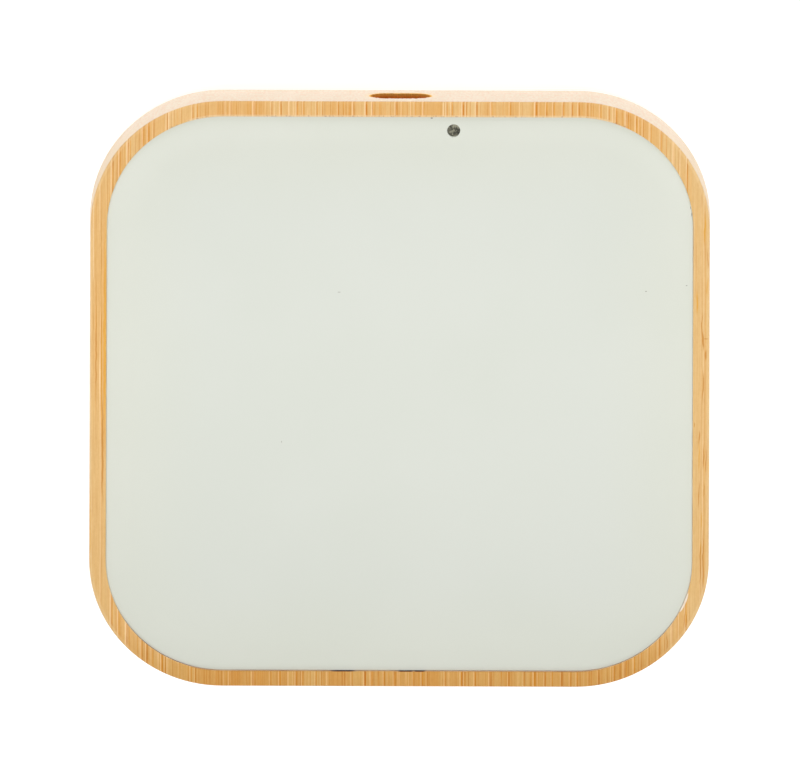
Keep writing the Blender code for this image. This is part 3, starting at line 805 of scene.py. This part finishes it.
def make_bamboo():
    made, tree, shader, spot = new_material("bamboo", Specular_IOR_Level=0.25)
    normal = put(tree, "ShaderNodeTexCoord").outputs["Normal"]
    grain = use_group(tree, GRAIN, Vector=spot)
    place, facing = parts(tree, spot), parts(tree, normal)
    inset = use_group(tree, RIM_FIELD, Vector=spot)["Inset"]
    upright = fall(tree, size_of(tree, facing[2]), 0.40, 0.85)
    surface = mix(tree, upright, make_rim_colour(tree, spot, place, inset, grain),
                  make_side_colour(tree, spot, grain, facing))
    surface = add_joint(tree, spot, place, inset, facing, normal, surface)
    surface = add_burn(tree, spot, place, upright, surface)
    gloss = times_plus(tree, upright, 0.15, times_plus(tree, grain["Fibre"], 0.18, 0.42))
    relief = times_plus(tree, grain["Dark Lines"], -0.5, grain["Fibre"])
    coat(tree, shader, surface, gloss, relief, 0.02 * MM, 0.6)
    return made


bamboo = make_bamboo()
print("bamboo nodes:", len(bamboo.node_tree.nodes))

# %% [markdown]
# ## The frame
#
# The real ring is milled from a board: outer wall, rim, an inner ledge for the covers and the
# slot. A skin through outlines gives the milled profile, a Boolean cuts the slot. The rim's
# inner edge was eased by hand, so it wanders by a few hundredths of a millimetre, and in three
# places it stands a little further from the cover.

# %% Shape the frame
TOP_ROUND = 0.28 * MM
UNDERSIDE_ROUND = 1.2 * MM
CLOSEST_GAP, WIDEST_GAP = 0.004 * MM, 0.05 * MM


def inner_edge(place):
    """How far the rim's inner edge lies from the outer face at this place."""
    cover_edge = pad_half - cover_half
    sway = noise.noise(Vector((place.x, place.y, 0)) * 90)
    gap = CLOSEST_GAP + 0.003 * MM * (1 + sway)
    for middle, length in OPEN_GAPS:
        away = abs(place.x - middle) / (length / 2)
        if place.y < 0 and away < 1:
            gap += (WIDEST_GAP - CLOSEST_GAP) * (1 - away ** 6)
    return cover_edge - gap


def make_ring():
    edge = 0.05 * MM
    ledge = wall + 1.0 * MM
    profile = [
        *arc(TOP_ROUND, rim_z - TOP_ROUND, TOP_ROUND, 90, 180),
        *arc(UNDERSIDE_ROUND, frame_bottom_z + UNDERSIDE_ROUND, UNDERSIDE_ROUND, 180, 270, 10),
        (wall, frame_bottom_z),
        (wall, ledge_bottom_z),
        (ledge, ledge_bottom_z),
        (ledge, ledge_top_z),
        (wall, ledge_top_z),
        (wall, rim_z - 0.9 * MM),
    ]
    loops = [outline(inset, z) for inset, z in profile]
    loops.append(outline(inner_edge, rim_z - 0.7 * MM))
    loops.append(outline(inner_edge, rim_z - edge))
    loops.append(outline(lambda place: inner_edge(place) - edge * 0.3, rim_z - edge * 0.3))
    loops.append(outline(lambda place: inner_edge(place) - edge, rim_z))
    return skin("bamboo_ring", loops, ring=True)


SLOT_END_STEPS, SLOT_SIDE_STEPS = 28, 60


def slot_outline(y, grow=0.0):
    """The laser-cut slot's outline at depth y, slightly uneven as a laser leaves it."""
    straight = slot_width / 2 - slot_end
    path = []
    for side in (1, -1):
        for i in range(SLOT_END_STEPS + 1):
            bend = math.pi * (i / SLOT_END_STEPS - 0.5)
            path.append((side * (straight + slot_end * math.cos(bend)),
                         side * slot_height / 2 * math.sin(bend)))
        for i in range(1, SLOT_SIDE_STEPS):
            path.append((side * straight * (1 - 2 * i / SLOT_SIDE_STEPS), side * slot_height / 2))
    points = []
    for x, z in path:
        rough = 0.12 * noise.noise(Vector((x, 0, z)) * 2100) - 0.09 + grow
        rough += 0.10 * noise.noise(Vector((x, 0.01, z)) * 6100)
        points.append((x * (1 + rough * 0.2), y, port_z + z * (1 + rough)))
    return points


def make_slot_cutter():
    depths = [pad_half + 1 * MM, pad_half, pad_half - 0.12 * MM, pad_half - 3 * MM]
    flare = [0.01, 0.01, 0.0, 0.0]
    return skin("slot_cutter", [slot_outline(y, grow) for y, grow in zip(depths, flare)])


ring = make_ring()
pocket_back = socket_high.y + 0.15 * MM
pocket = box("pocket", (-5.15 * MM, pocket_back - 5 * MM, port_z - 1.75 * MM),
             (5.15 * MM, pocket_back, port_z + 1.75 * MM))
shape_with(ring, "DIFFERENCE", make_slot_cutter(), pocket)
finish_piece(ring, bamboo, ["bamboo_frame"])

# %% [markdown]
# ## Moulded plastic
#
# Both covers are injection moulded. The tool was eroded to a fine matte texture, which is far
# too small to model, so it is a bump. A group holds it, because both covers and the rubber feet
# share it with other grain sizes.

# %% Build the moulded surface group


def build_moulding_group():
    group, start, end = new_group(
        "Moulded Surface",
        [("Vector", VECTOR, None), ("Grain", NUMBER, 9000.0), ("Drift", NUMBER, 45.0)],
        [("Height", NUMBER), ("Drift", NUMBER), ("Specks", NUMBER)],
    )
    feed(group, end["Height"], cloud(group, start["Vector"], start["Grain"], 3.0, 0.6))
    drift = cloud(group, start["Vector"], start["Drift"], 2.0)
    feed(group, end["Drift"], ramp(group, drift, 0.3, 0.7))
    dust = cells(group, start["Vector"], 75.0)
    rare = channels(group, dust.outputs["Color"])[0]
    small = fall(group, dust.outputs["Distance"], 0.006, 0.016)
    feed(group, end["Specks"], times(group, small, ramp(group, rare, 0.80, 0.82)))
    return group


MOULDED = build_moulding_group()


LINT = (  # centre and half size in millimetres: dust and lint that a finger leaves
    ((5.05, 47.10), (0.26, 0.15)), ((-9.8, 17.5), (0.35, 0.06)), ((-19.0, -8.1), (0.07, 0.18)),
    ((39.7, 17.8), (0.20, 0.10)), ((46.85, 31.9), (0.07, 0.35)), ((47.06, 30.75), (0.09, 0.45)),
    ((46.25, 18.7), (0.20, 0.08)),
)
# The second colour on the next line is painted shade: the bluish grey that the cover's outer edge takes
# next to the rim.
WARM_TINT, EDGE_PAINTED_SHADE = (1.010, 1.0, 0.965), (0.56, 0.64, 0.60)
DUST = (0.27, 0.25, 0.20)


def make_moulded(name, base, drifted, roughness, grain, depth):
    """Matte plastic, a little warmer towards its edge, with painted shade along its outer edge by the
    rim, and some dust.
    """
    made, tree, shader, spot = new_material(name, Roughness=roughness, Specular_IOR_Level=0.4)
    surface = use_group(tree, MOULDED, Vector=spot, Grain=grain)
    inset = use_group(tree, RIM_FIELD, Vector=spot)["Inset"]
    body = mix(tree, surface["Drift"], base, drifted)
    warm = ramp(tree, inset, 3 * MM, 21 * MM, 0.75, 0.0)
    body = mix(tree, warm, body, mix(tree, 1.0, body, WARM_TINT, "MULTIPLY"))
    # Painted shade: the outermost strip of the cover darker and bluish grey next to the rim.
    body = mix(tree, ramp(tree, inset, 2.72 * MM, 2.95 * MM, 0.35, 0.0), body, EDGE_PAINTED_SHADE)
    lint = times(tree, make_marks(tree, spot, LINT), 0.95)
    dust = larger(tree, times(tree, surface["Specks"], 0.35), lint)
    gloss = times_plus(tree, surface["Height"], 0.16, roughness - 0.08)
    coat(tree, shader, mix(tree, dust, body, DUST), gloss, surface["Height"], depth, 0.5)
    return made


cover_plastic = make_moulded("cover_plastic", (0.712, 0.738, 0.668),
                             (0.724, 0.748, 0.682), 0.30, 9000.0, 0.004 * MM)
base_plastic = make_moulded("base_plastic", (0.66, 0.68, 0.60),
                            (0.68, 0.70, 0.62), 0.55, 6000.0, 0.02 * MM)
print("plastics:", cover_plastic.name, base_plastic.name)

# %% [markdown]
# ## Geometry trees
#
# What repeats or follows a rule is made by Geometry Nodes: the fall of the cover's edge, the
# turns of the coil, the feet and the contacts. A tree is built like a material's tree. Its
# inputs are named, and each run sets them, keeps the result as a plain mesh and drops the
# modifier.

# %% Helpers for geometry trees
LENGTH, COUNT, FINISH = "NodeSocketFloat", "NodeSocketInt", "NodeSocketMaterial"


def new_geometry_tree(name, inputs):
    tree = bpy.data.node_groups.new(name, "GeometryNodeTree")
    for in_out in ("INPUT", "OUTPUT"):
        tree.interface.new_socket("Geometry", in_out=in_out, socket_type="NodeSocketGeometry")
    for label, kind in inputs:
        tree.interface.new_socket(label, in_out="INPUT", socket_type=kind)
    tree.interface.new_socket("Finish", in_out="INPUT", socket_type=FINISH)
    start = tree.nodes.new("NodeGroupInput").outputs
    end = tree.nodes.new("NodeGroupOutput").inputs
    return tree, start, end


def close_tree(tree, start, end, geometry):
    """The last nodes of every tree: real copies, with their material."""
    real = put(tree, "GeometryNodeRealizeInstances", Geometry=geometry).outputs[0]
    done = put(tree, "GeometryNodeSetMaterial", Geometry=real, Material=start["Finish"])
    feed(tree, end["Geometry"], done.outputs[0])
    return tree


def run_tree(piece, tree, **values):
    """Sets the tree's inputs, which go by identifier, and keeps its result as a plain mesh."""
    change = piece.modifiers.new("nodes", "NODES")
    change.node_group = tree
    for socket in tree.interface.items_tree:
        key = socket.name.replace(" ", "_")
        if socket.in_out == "INPUT" and key in values:
            change[socket.identifier] = values[key]
    bake_modifiers(piece)
    return piece


def empty_piece(name):
    return add_object(name, bpy.data.meshes.new(name))


print("geometry helpers ready")

# %% [markdown]
# ## The top cover
#
# The phone lies on its flat middle. Towards the edge it falls away in a band about five
# millimetres wide and ends in a small round edge just below the bamboo rim. The shell is first
# skinned flat, with every point's distance to the edge stored on it. A geometry tree then
# lowers each point by the rule drop x (1 - distance / band) cubed, so the band can be made
# wider or deeper by one number.

# %% Build the crown's tree


def build_crown_tree():
    tree, start, end = new_geometry_tree("Crown", [("Band", LENGTH), ("Drop", LENGTH)])
    inset = put(tree, "GeometryNodeInputNamedAttribute", {"data_type": "FLOAT"}, Name="inset")
    share = calc(tree, "DIVIDE", inset.outputs["Attribute"], start["Band"])
    left = larger(tree, minus(tree, 1.0, share), 0.0)
    depth = times(tree, calc(tree, "POWER", left, 3.0), start["Drop"])
    down = put(tree, "ShaderNodeCombineXYZ", Z=times(tree, depth, -1.0)).outputs[0]
    moved = put(tree, "GeometryNodeSetPosition", Geometry=start["Geometry"], Offset=down)
    return close_tree(tree, start, end, moved.outputs[0])


CROWN = build_crown_tree()
print("crown tree has", len(CROWN.nodes), "nodes")

# %% Shape the top cover
CROWN_BAND = 5.2 * MM
CROWN_DROP = 0.6 * MM
EDGE_ROUND = 0.07 * MM
COVER_THICKNESS = 1.2 * MM
SKIRT = 0.9 * MM
SCREW_OFFSET = (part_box("rubber_foot_1")[0].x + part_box("rubber_foot_1")[1].x) / 2
CORNERS = ((1, 1), (-1, 1), (-1, -1), (1, -1))
NO_FALL = 1.0  # a stored distance far beyond the band, so the point stays where it is


def shrunk(loop, share, z):
    """The loop drawn together towards the middle, which stays free of folds."""
    return [(x * share, y * share, z) for x, y, _ in loop]


def make_cover():
    """Loops from the middle of the underside, round the skirt, to the middle of the top."""
    edge = pad_half - cover_half
    skirt_bottom = ledge_top_z + 0.1 * MM
    under = crown_z - COVER_THICKNESS
    flat_edge = edge + CROWN_BAND
    middle = outline(flat_edge, 0)
    loops = [shrunk(middle, share, under) for share in (0.45, 0.75, 1.0)]
    insets = [NO_FALL] * 3
    for inset, z in ((edge + SKIRT, 6.2 * MM), (edge + SKIRT, skirt_bottom),
                     (edge, skirt_bottom), (edge, 6.2 * MM)):
        loops.append(outline(inset, z))
        insets.append(NO_FALL)
    for inset, z in arc(edge + EDGE_ROUND, crown_z - EDGE_ROUND, EDGE_ROUND, 180, 95, 7):
        loops.append(outline(inset, z))
        insets.append(inset - edge)
    steps = 24
    for step in range(1, steps + 1):
        inset = EDGE_ROUND + (CROWN_BAND - EDGE_ROUND) * step / steps
        loops.append(outline(edge + inset, crown_z))
        insets.append(inset)
    loops += [shrunk(middle, share, crown_z) for share in (0.97, 0.75, 0.45)]
    insets += [NO_FALL] * 3
    shell = skin("top_cover_shell", loops)
    stored = shell.data.attributes.new("inset", "FLOAT", "POINT")
    stored.data.foreach_set("value", [value for value in insets for _ in EDGE])
    return run_tree(shell, CROWN, Band=CROWN_BAND, Drop=CROWN_DROP, Finish=cover_plastic)


def post(name, radius, low, high, x, y, steps=32):
    return skin(name, [circle(radius, z, steps, (x, y)) for z in (low, high)])


cover = make_cover()
inside = crown_z - COVER_THICKNESS / 2
for side_x, side_y in CORNERS:
    x, y = side_x * SCREW_OFFSET, side_y * SCREW_OFFSET
    shape_with(cover, "UNION", post("boss", 2.2 * MM, boss_bottom_z, inside, x, y))
    shape_with(cover, "DIFFERENCE", post("pilot", 1.06 * MM, 2 * MM, 6.1 * MM, x, y))
light_radius = 1.02 * MM
hole = skin("light_hole", [
    circle(light_radius + 0.01 * MM, 5 * MM, 64, (light_at.x, light_at.y)),
    circle(light_radius + 0.01 * MM, pipe_high.z - 0.01 * MM, 64, (light_at.x, light_at.y)),
    circle(light_radius + 0.04 * MM, pipe_high.z + 0.14 * MM, 64, (light_at.x, light_at.y)),
    circle(light_radius + 0.04 * MM, crown_z + 1 * MM, 64, (light_at.x, light_at.y)),
])
relief = box("relief", (-5.15 * MM, socket_low.y - 0.1 * MM, 4.4 * MM),
             (5.15 * MM, pad_half, 6.5 * MM))
shape_with(cover, "DIFFERENCE", hole, relief)
finish_piece(cover, cover_plastic, ["top_cover"], sharp=35)

# %% [markdown]
# ## The status light
#
# A small acrylic rod carries the light of an LED on the board up to the cover. Its end is
# frosted, and unlit it looks like grey stone: cloudy, with darker and paler swirls.

# %% Make the frosted acrylic and the rod


def make_frosted():
    made, tree, shader, spot = new_material("frosted_acrylic", Roughness=0.45, IOR=1.49)
    twist = cloud(tree, spot, 900.0, 2.0)
    warped = put(tree, "ShaderNodeTexNoise", Vector=spot, Scale=1500.0, Detail=4.0,
                 Roughness=0.65, Distortion=1.3).outputs[0]
    swirl = ramp(tree, warped, 0.44, 0.57)
    mixed = times_plus(tree, ramp(tree, twist, 0.4, 0.6), 0.25, times(tree, swirl, 0.75))
    body = mix(tree, mixed, (0.035, 0.033, 0.022), (0.335, 0.322, 0.232))
    coat(tree, shader, body, times_plus(tree, swirl, 0.3, 0.3), mixed, 0.015 * MM, 0.5)
    return made


def make_pipe():
    centre = (light_at.x, light_at.y)
    shoulder_z = 6.2 * MM
    top_z = pipe_high.z
    profile = [
        (1.25 * MM, pipe_low.z), (1.25 * MM, shoulder_z), (light_radius, shoulder_z),
        (light_radius, top_z - 0.10 * MM), (light_radius * 0.96, top_z - 0.05 * MM),
        (light_radius * 0.86, top_z - 0.015 * MM), (light_radius * 0.6, top_z),
        (light_radius * 0.2, top_z),
    ]
    return skin("light_pipe", [circle(radius, z, 64, centre) for radius, z in profile])


frosted = make_frosted()
finish_piece(make_pipe(), frosted, ["status_light_pipe"])

# %% [markdown]
# ## The feet
#
# Four soft feet sit in shallow round pockets of the base. One foot is turned from a profile,
# and a geometry tree sets a copy on each corner of a square, so the four stay alike. Rubber
# takes the tool's texture, with slightly paler patches.

# %% Make the rubber and the feet


def make_rubber():
    made, tree, shader, spot = new_material("foot_rubber", Specular_IOR_Level=0.3)
    surface = use_group(tree, MOULDED, Vector=spot, Grain=5200.0, Drift=380.0)
    body = mix(tree, surface["Drift"], (0.17, 0.168, 0.16), (0.205, 0.20, 0.19))
    gloss = times_plus(tree, surface["Height"], 0.2, 0.65)
    coat(tree, shader, body, gloss, surface["Height"], 0.03 * MM, 0.7)
    return made


def build_corner_tree():
    tree, start, end = new_geometry_tree("Four Corners", [("Spread", LENGTH)])
    square = put(tree, "GeometryNodeMeshGrid", Size_X=start["Spread"], Size_Y=start["Spread"],
                 Vertices_X=2, Vertices_Y=2).outputs["Mesh"]
    copies = put(tree, "GeometryNodeInstanceOnPoints", Points=square, Instance=start["Geometry"])
    return close_tree(tree, start, end, copies.outputs[0])


def make_feet():
    """One turned foot, with a slightly hollow sole, copied to the four corners."""
    low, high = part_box("rubber_foot_1")
    radius = (high.x - low.x) / 2
    soft = 0.35 * MM
    profile = [(radius * 0.5, high.z), (radius, high.z), (radius, low.z + soft)]
    profile += [(radius - soft + soft * math.cos(t), low.z + soft - soft * math.sin(t))
                for t in (0.4, 0.8, 1.2, math.pi / 2)]
    profile += [(radius - 0.9 * MM, low.z), (radius - 1.1 * MM, low.z + 0.06 * MM),
                (radius * 0.3, low.z + 0.08 * MM)]
    foot = skin("rubber_feet", [circle(r, z, 72) for r, z in profile])
    return run_tree(foot, build_corner_tree(), Spread=2 * SCREW_OFFSET, Finish=foot_rubber)


foot_rubber = make_rubber()
feet = ["rubber_foot_%d" % (i + 1) for i in range(4)]
finish_piece(make_feet(), None, feet, sharp=50)

# %% [markdown]
# ## The coil
#
# The coil is nine turns of stranded copper wire wound flat. In Blender it is a spiral curve
# with a round profile swept along it. The tree stores how far along and how far round each
# point is, so the material can wind the strands round the wire wherever it goes.

# %% Build the coil's tree


def build_coil_tree():
    tree, start, end = new_geometry_tree("Flat Coil", [
        (label, LENGTH) for label in ("Inner", "Outer", "Wire", "Height", "Turns")
    ])
    spiral = put(tree, "GeometryNodeCurveSpiral", Resolution=64, Rotations=start["Turns"],
                 Start_Radius=start["Inner"], End_Radius=start["Outer"], Height=0.0).outputs[0]
    ring = put(tree, "GeometryNodeCurvePrimitiveCircle", Resolution=12, Radius=start["Wire"])
    measured = []
    for curve, name, source in ((spiral, "along", "Length"), (ring.outputs[0], "around", "Factor")):
        spline = tree.nodes.new("GeometryNodeSplineParameter").outputs
        store = put(tree, "GeometryNodeStoreNamedAttribute", {"data_type": "FLOAT"},
                    Geometry=curve, Name=name, Value=spline[source])
        measured.append(store.outputs[0])
    wire = put(tree, "GeometryNodeCurveToMesh", Curve=measured[0], Profile_Curve=measured[1],
               Fill_Caps=True).outputs[0]
    lift = put(tree, "ShaderNodeCombineXYZ", Z=start["Height"]).outputs[0]
    raised = put(tree, "GeometryNodeSetPosition", Geometry=wire, Offset=lift)
    return close_tree(tree, start, end, raised.outputs[0])


TWIST = 0.004


def make_wire_finish(name, wound):
    """Enamelled copper. Where the piece stores its own length, strands wind round it, with painted shade
    in the grooves between them.
    """
    made, tree, shader, spot = new_material(name, Metallic=1.0, Coat_Weight=0.6, Coat_Roughness=0.2)
    tone = ramp(tree, cloud(tree, spot, 1100.0, 3.0), 0.3, 0.7)
    body = mix(tree, tone, (0.62, 0.22, 0.075), (0.78, 0.33, 0.13))
    height = cloud(tree, spot, 5200.0, 2.0)
    if wound:
        along = put(tree, "ShaderNodeAttribute", {"attribute_name": "along"}).outputs["Fac"]
        around = put(tree, "ShaderNodeAttribute", {"attribute_name": "around"}).outputs["Fac"]
        turn = times_plus(tree, along, 2 * math.pi / TWIST, times(tree, around, 14 * math.pi))
        height = times_plus(tree, calc(tree, "SINE", turn), 0.5, 0.5)
        # Painted shade: darker copper in the grooves between the strands.
        body = mix(tree, times(tree, height, 0.6), (0.30, 0.09, 0.03), body)
    coat(tree, shader, body, times_plus(tree, tone, 0.12, 0.28), height, 0.05 * MM, 0.6)
    return made


coil_copper = make_wire_finish("coil_copper", True)
coil_low, coil_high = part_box("charging_coil")
WIRE_RADIUS = 0.53 * MM
coil = run_tree(
    empty_piece("coil_windings"), build_coil_tree(), Turns=9.0, Wire=WIRE_RADIUS,
    Inner=10.5 * MM + WIRE_RADIUS, Outer=coil_high.x - WIRE_RADIUS - 0.05 * MM,
    Height=(coil_low.z + coil_high.z) / 2, Finish=coil_copper,
)
finish_piece(coil, None, ["charging_coil"], sharp=60)

# %% [markdown]
# ## The contacts
#
# The socket's tongue carries twelve flat gold-plated contacts on each side, half a millimetre
# apart. A tree lays two rows of small plates, and one run makes them all.

# %% Make the contacts


def build_contact_tree():
    lengths = ("Pitch", "Width", "Reach", "Thickness", "Spread", "Front", "Height")
    tree, start, end = new_geometry_tree(
        "Contact Rows", [("Count", COUNT)] + [(label, LENGTH) for label in lengths])
    size = put(tree, "ShaderNodeCombineXYZ", X=start["Width"], Y=start["Reach"], Z=start["Thickness"])
    plate = put(tree, "GeometryNodeMeshCube", Size=size.outputs[0]).outputs["Mesh"]
    gaps = minus(tree, start["Count"], 1.0)
    first = times(tree, times(tree, gaps, start["Pitch"]), -0.5)
    middle = times_plus(tree, start["Reach"], -0.5, start["Front"])
    step = put(tree, "ShaderNodeCombineXYZ", X=start["Pitch"]).outputs[0]
    rows = tree.nodes.new("GeometryNodeJoinGeometry")
    for side in (0.5, -0.5):
        z = times_plus(tree, start["Spread"], side, start["Height"])
        place = put(tree, "ShaderNodeCombineXYZ", X=first, Y=middle, Z=z).outputs[0]
        line = put(tree, "GeometryNodeMeshLine", Count=start["Count"], Start_Location=place, Offset=step)
        copies = put(tree, "GeometryNodeInstanceOnPoints", Points=line.outputs[0], Instance=plate)
        tree.links.new(copies.outputs[0], rows.inputs[0])
    return close_tree(tree, start, end, rows.outputs[0])


def make_metal(name, base, wear_and_highlight, roughness, brushed):
    made, tree, shader, spot = new_material(name, Metallic=1.0)
    marks = cloud(tree, stretch(tree, spot, brushed), 2600.0, 3.0, 0.6)
    tone = ramp(tree, marks, 0.3, 0.7)
    gloss = times_plus(tree, tone, 0.14, roughness)
    coat(tree, shader, mix(tree, tone, base, wear_and_highlight), gloss, marks, 0.01 * MM, 0.5)
    return made


gold_plate = make_metal("gold_plate", (0.86, 0.62, 0.24), (0.93, 0.72, 0.33), 0.18, (1, 0.1, 1))
tongue_low, tongue_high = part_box("usb_c_tongue")
PLATE = 0.04 * MM
contacts = run_tree(
    empty_piece("usb_c_contacts"), build_contact_tree(), Count=12, Pitch=0.5 * MM, Width=0.28 * MM,
    Reach=3.6 * MM, Thickness=PLATE, Spread=tongue_high.z - tongue_low.z + PLATE,
    Front=tongue_high.y - 0.35 * MM, Height=(tongue_low.z + tongue_high.z) / 2, Finish=gold_plate,
)
finish_piece(contacts)

# %% [markdown]
# ## Finishes of the pieces that keep their shape
#
# The base, the board, the socket and everything under the cover keep the shapes of the frame.
# Each gets its own finish in its place in the frame's list. Most of them need two tones and a
# texture at the right scale, so one function mixes those, and the few others are made one by one.

# %% Make the plain two-tone finishes


def make_two_tone(name, first, second, scale, roughness, depth, drawn=(1, 1, 1)):
    """Two tones mixed by a cloud of the given scale, with the same cloud as relief."""
    made, tree, shader, spot = new_material(name, Specular_IOR_Level=0.4)
    clouds = cloud(tree, stretch(tree, spot, drawn), scale, 3.0, 0.6)
    tone = ramp(tree, clouds, 0.32, 0.68)
    gloss = times_plus(tree, tone, 0.12, roughness - 0.06)
    body = mix(tree, tone, first, second)
    coat(tree, shader, body, gloss, clouds, depth * MM, 0.6)
    return made


TWO_TONES = (  # name, first and second tone, scale of the cloud, roughness, relief in mm
    ("connector_insulator", (0.012, 0.012, 0.013), (0.03, 0.03, 0.032), 4200, 0.45, 0.01),
    ("chip_epoxy", (0.014, 0.014, 0.015), (0.034, 0.034, 0.036), 5200, 0.55, 0.02),
    ("led_lens", (0.62, 0.56, 0.30), (0.74, 0.70, 0.46), 2400, 0.25, 0.01),
    ("adhesive_tape", (0.68, 0.67, 0.62), (0.78, 0.77, 0.73), 900, 0.5, 0.02),
    ("lead_sleeve", (0.74, 0.74, 0.71), (0.82, 0.82, 0.80), 2600, 0.5, 0.02, (1, 0.2, 1)),
    ("thermistor_glass", (0.24, 0.065, 0.02), (0.40, 0.12, 0.04), 1500, 0.12, 0.01),
)
METALS = (  # name, clean and worn tone, roughness, direction of the brushing
    ("screw_steel", (0.56, 0.56, 0.55), (0.68, 0.68, 0.66), 0.24, (1, 1, 1)),
    ("connector_steel", (0.60, 0.60, 0.59), (0.74, 0.74, 0.72), 0.20, (1, 0.06, 1)),
)
finishes = {row[0]: make_two_tone(*row) for row in TWO_TONES}
finishes.update((row[0], make_metal(*row)) for row in METALS)
finishes.update(
    bamboo=bamboo, cover_plastic=cover_plastic, base_plastic=base_plastic, coil_copper=coil_copper,
    foot_rubber=foot_rubber, light_pipe_acrylic=frosted,
    wire_enamel=make_wire_finish("wire_enamel", False),
)
print("finishes so far:", len(finishes))

# %% Make the ferrite, the foam and the plated parts


def make_ferrite_finish():
    """Pressed and sintered powder: dark, dense, with a few bright grains."""
    made, tree, shader, spot = new_material("ferrite", Metallic=0.3)
    grains = cells(tree, spot, 4200.0).outputs
    shade = channels(tree, grains["Color"])[0]
    bright = ramp(tree, shade, 0.86, 0.97)
    body = mix(tree, bright, (0.035, 0.035, 0.038), (0.13, 0.13, 0.14))
    gloss = times_plus(tree, shade, 0.25, 0.42)
    coat(tree, shader, body, gloss, grains["Distance"], 0.03 * MM, 0.5)
    return made


def make_foam_finish():
    """Closed-cell foam: round cells of uneven size between thin paler walls, the cells' hollows darkened
    with painted shade.
    """
    made, tree, shader, spot = new_material("support_foam", Roughness=0.95, Specular_IOR_Level=0.2)
    wide = cells(tree, spot, 2100.0).outputs["Distance"]
    small = cells(tree, spot, 5200.0).outputs["Distance"]
    pore = times(tree, ramp(tree, wide, 0.1, 0.5), ramp(tree, small, 0.0, 0.4, 0.6, 1.0))
    # Painted shade: each cell's hollow darker than the walls around it.
    body = mix(tree, pore, (0.02, 0.02, 0.022), (0.11, 0.11, 0.115))
    coat(tree, shader, body, None, pore, 0.12 * MM, 0.9)
    return made


def make_plated(name, first, second, middle, reach, axis):
    """A glazed body whose two ends, further than reach from a middle, are tinned."""
    made, tree, shader, spot = new_material(name)
    place = parts(tree, spot)[axis]
    ends = 1.0
    for centre in middle:
        far = size_of(tree, minus(tree, place, centre * MM))
        ends = times(tree, ends, ramp(tree, far, (reach - 0.03) * MM, (reach + 0.03) * MM))
    clouds = cloud(tree, spot, 3600.0, 3.0)
    body = mix(tree, ramp(tree, clouds, 0.3, 0.7), first, second)
    body = mix(tree, ends, body, (0.70, 0.69, 0.67))
    feed(tree, shader.inputs["Metallic"], ends)
    coat(tree, shader, body, times_plus(tree, clouds, 0.2, 0.25), clouds, 0.01 * MM, 0.5)
    return made


finishes["ferrite"] = make_ferrite_finish()
finishes["support_foam"] = make_foam_finish()
for row in (
    ("capacitor_ceramic", (0.35, 0.22, 0.11), (0.44, 0.29, 0.16), (33.0, 42.5), 1.2, 1),
    ("resistor_glaze", (0.012, 0.012, 0.014), (0.03, 0.03, 0.034), (-19.5,), 1.2, 0),
):
    finishes[row[0]] = make_plated(*row)
print("finishes so far:", len(finishes))

# %% Make the circuit board


def make_board_finish():
    """Green solder mask over straight copper tracks, with bare glass fibre at the edges."""
    made, tree, shader, spot = new_material("board_green", Coat_Weight=0.3, Coat_Roughness=0.2)
    tracks = put(tree, "ShaderNodeTexBrick", Vector=spot, Scale=320.0, Mortar_Size=0.06,
                 Mortar_Smooth=0.1, Brick_Width=1.1, Row_Height=0.4)
    line = ramp(tree, tracks.outputs["Fac"], 0.2, 0.8)
    mask = mix(tree, line, (0.008, 0.085, 0.032), (0.018, 0.150, 0.058))
    clouds = cloud(tree, spot, 2600.0, 3.0)
    mask = mix(tree, times(tree, clouds, 0.3), mask, (0.02, 0.11, 0.05))
    facing = parts(tree, put(tree, "ShaderNodeTexCoord").outputs["Normal"])
    cut_edge = fall(tree, size_of(tree, facing[2]), 0.4, 0.6)
    body = mix(tree, cut_edge, mask, (0.42, 0.38, 0.20))
    coat(tree, shader, body, times_plus(tree, clouds, 0.15, 0.3), line, 0.03 * MM, 0.7)
    return made


finishes["board_green"] = make_board_finish()

for name, node in sorted(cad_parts.items()):
    for place in node.material_slots:
        place.material = finishes[place.material.name.split(".")[0]]
print("nodes with a finish:", len(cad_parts))
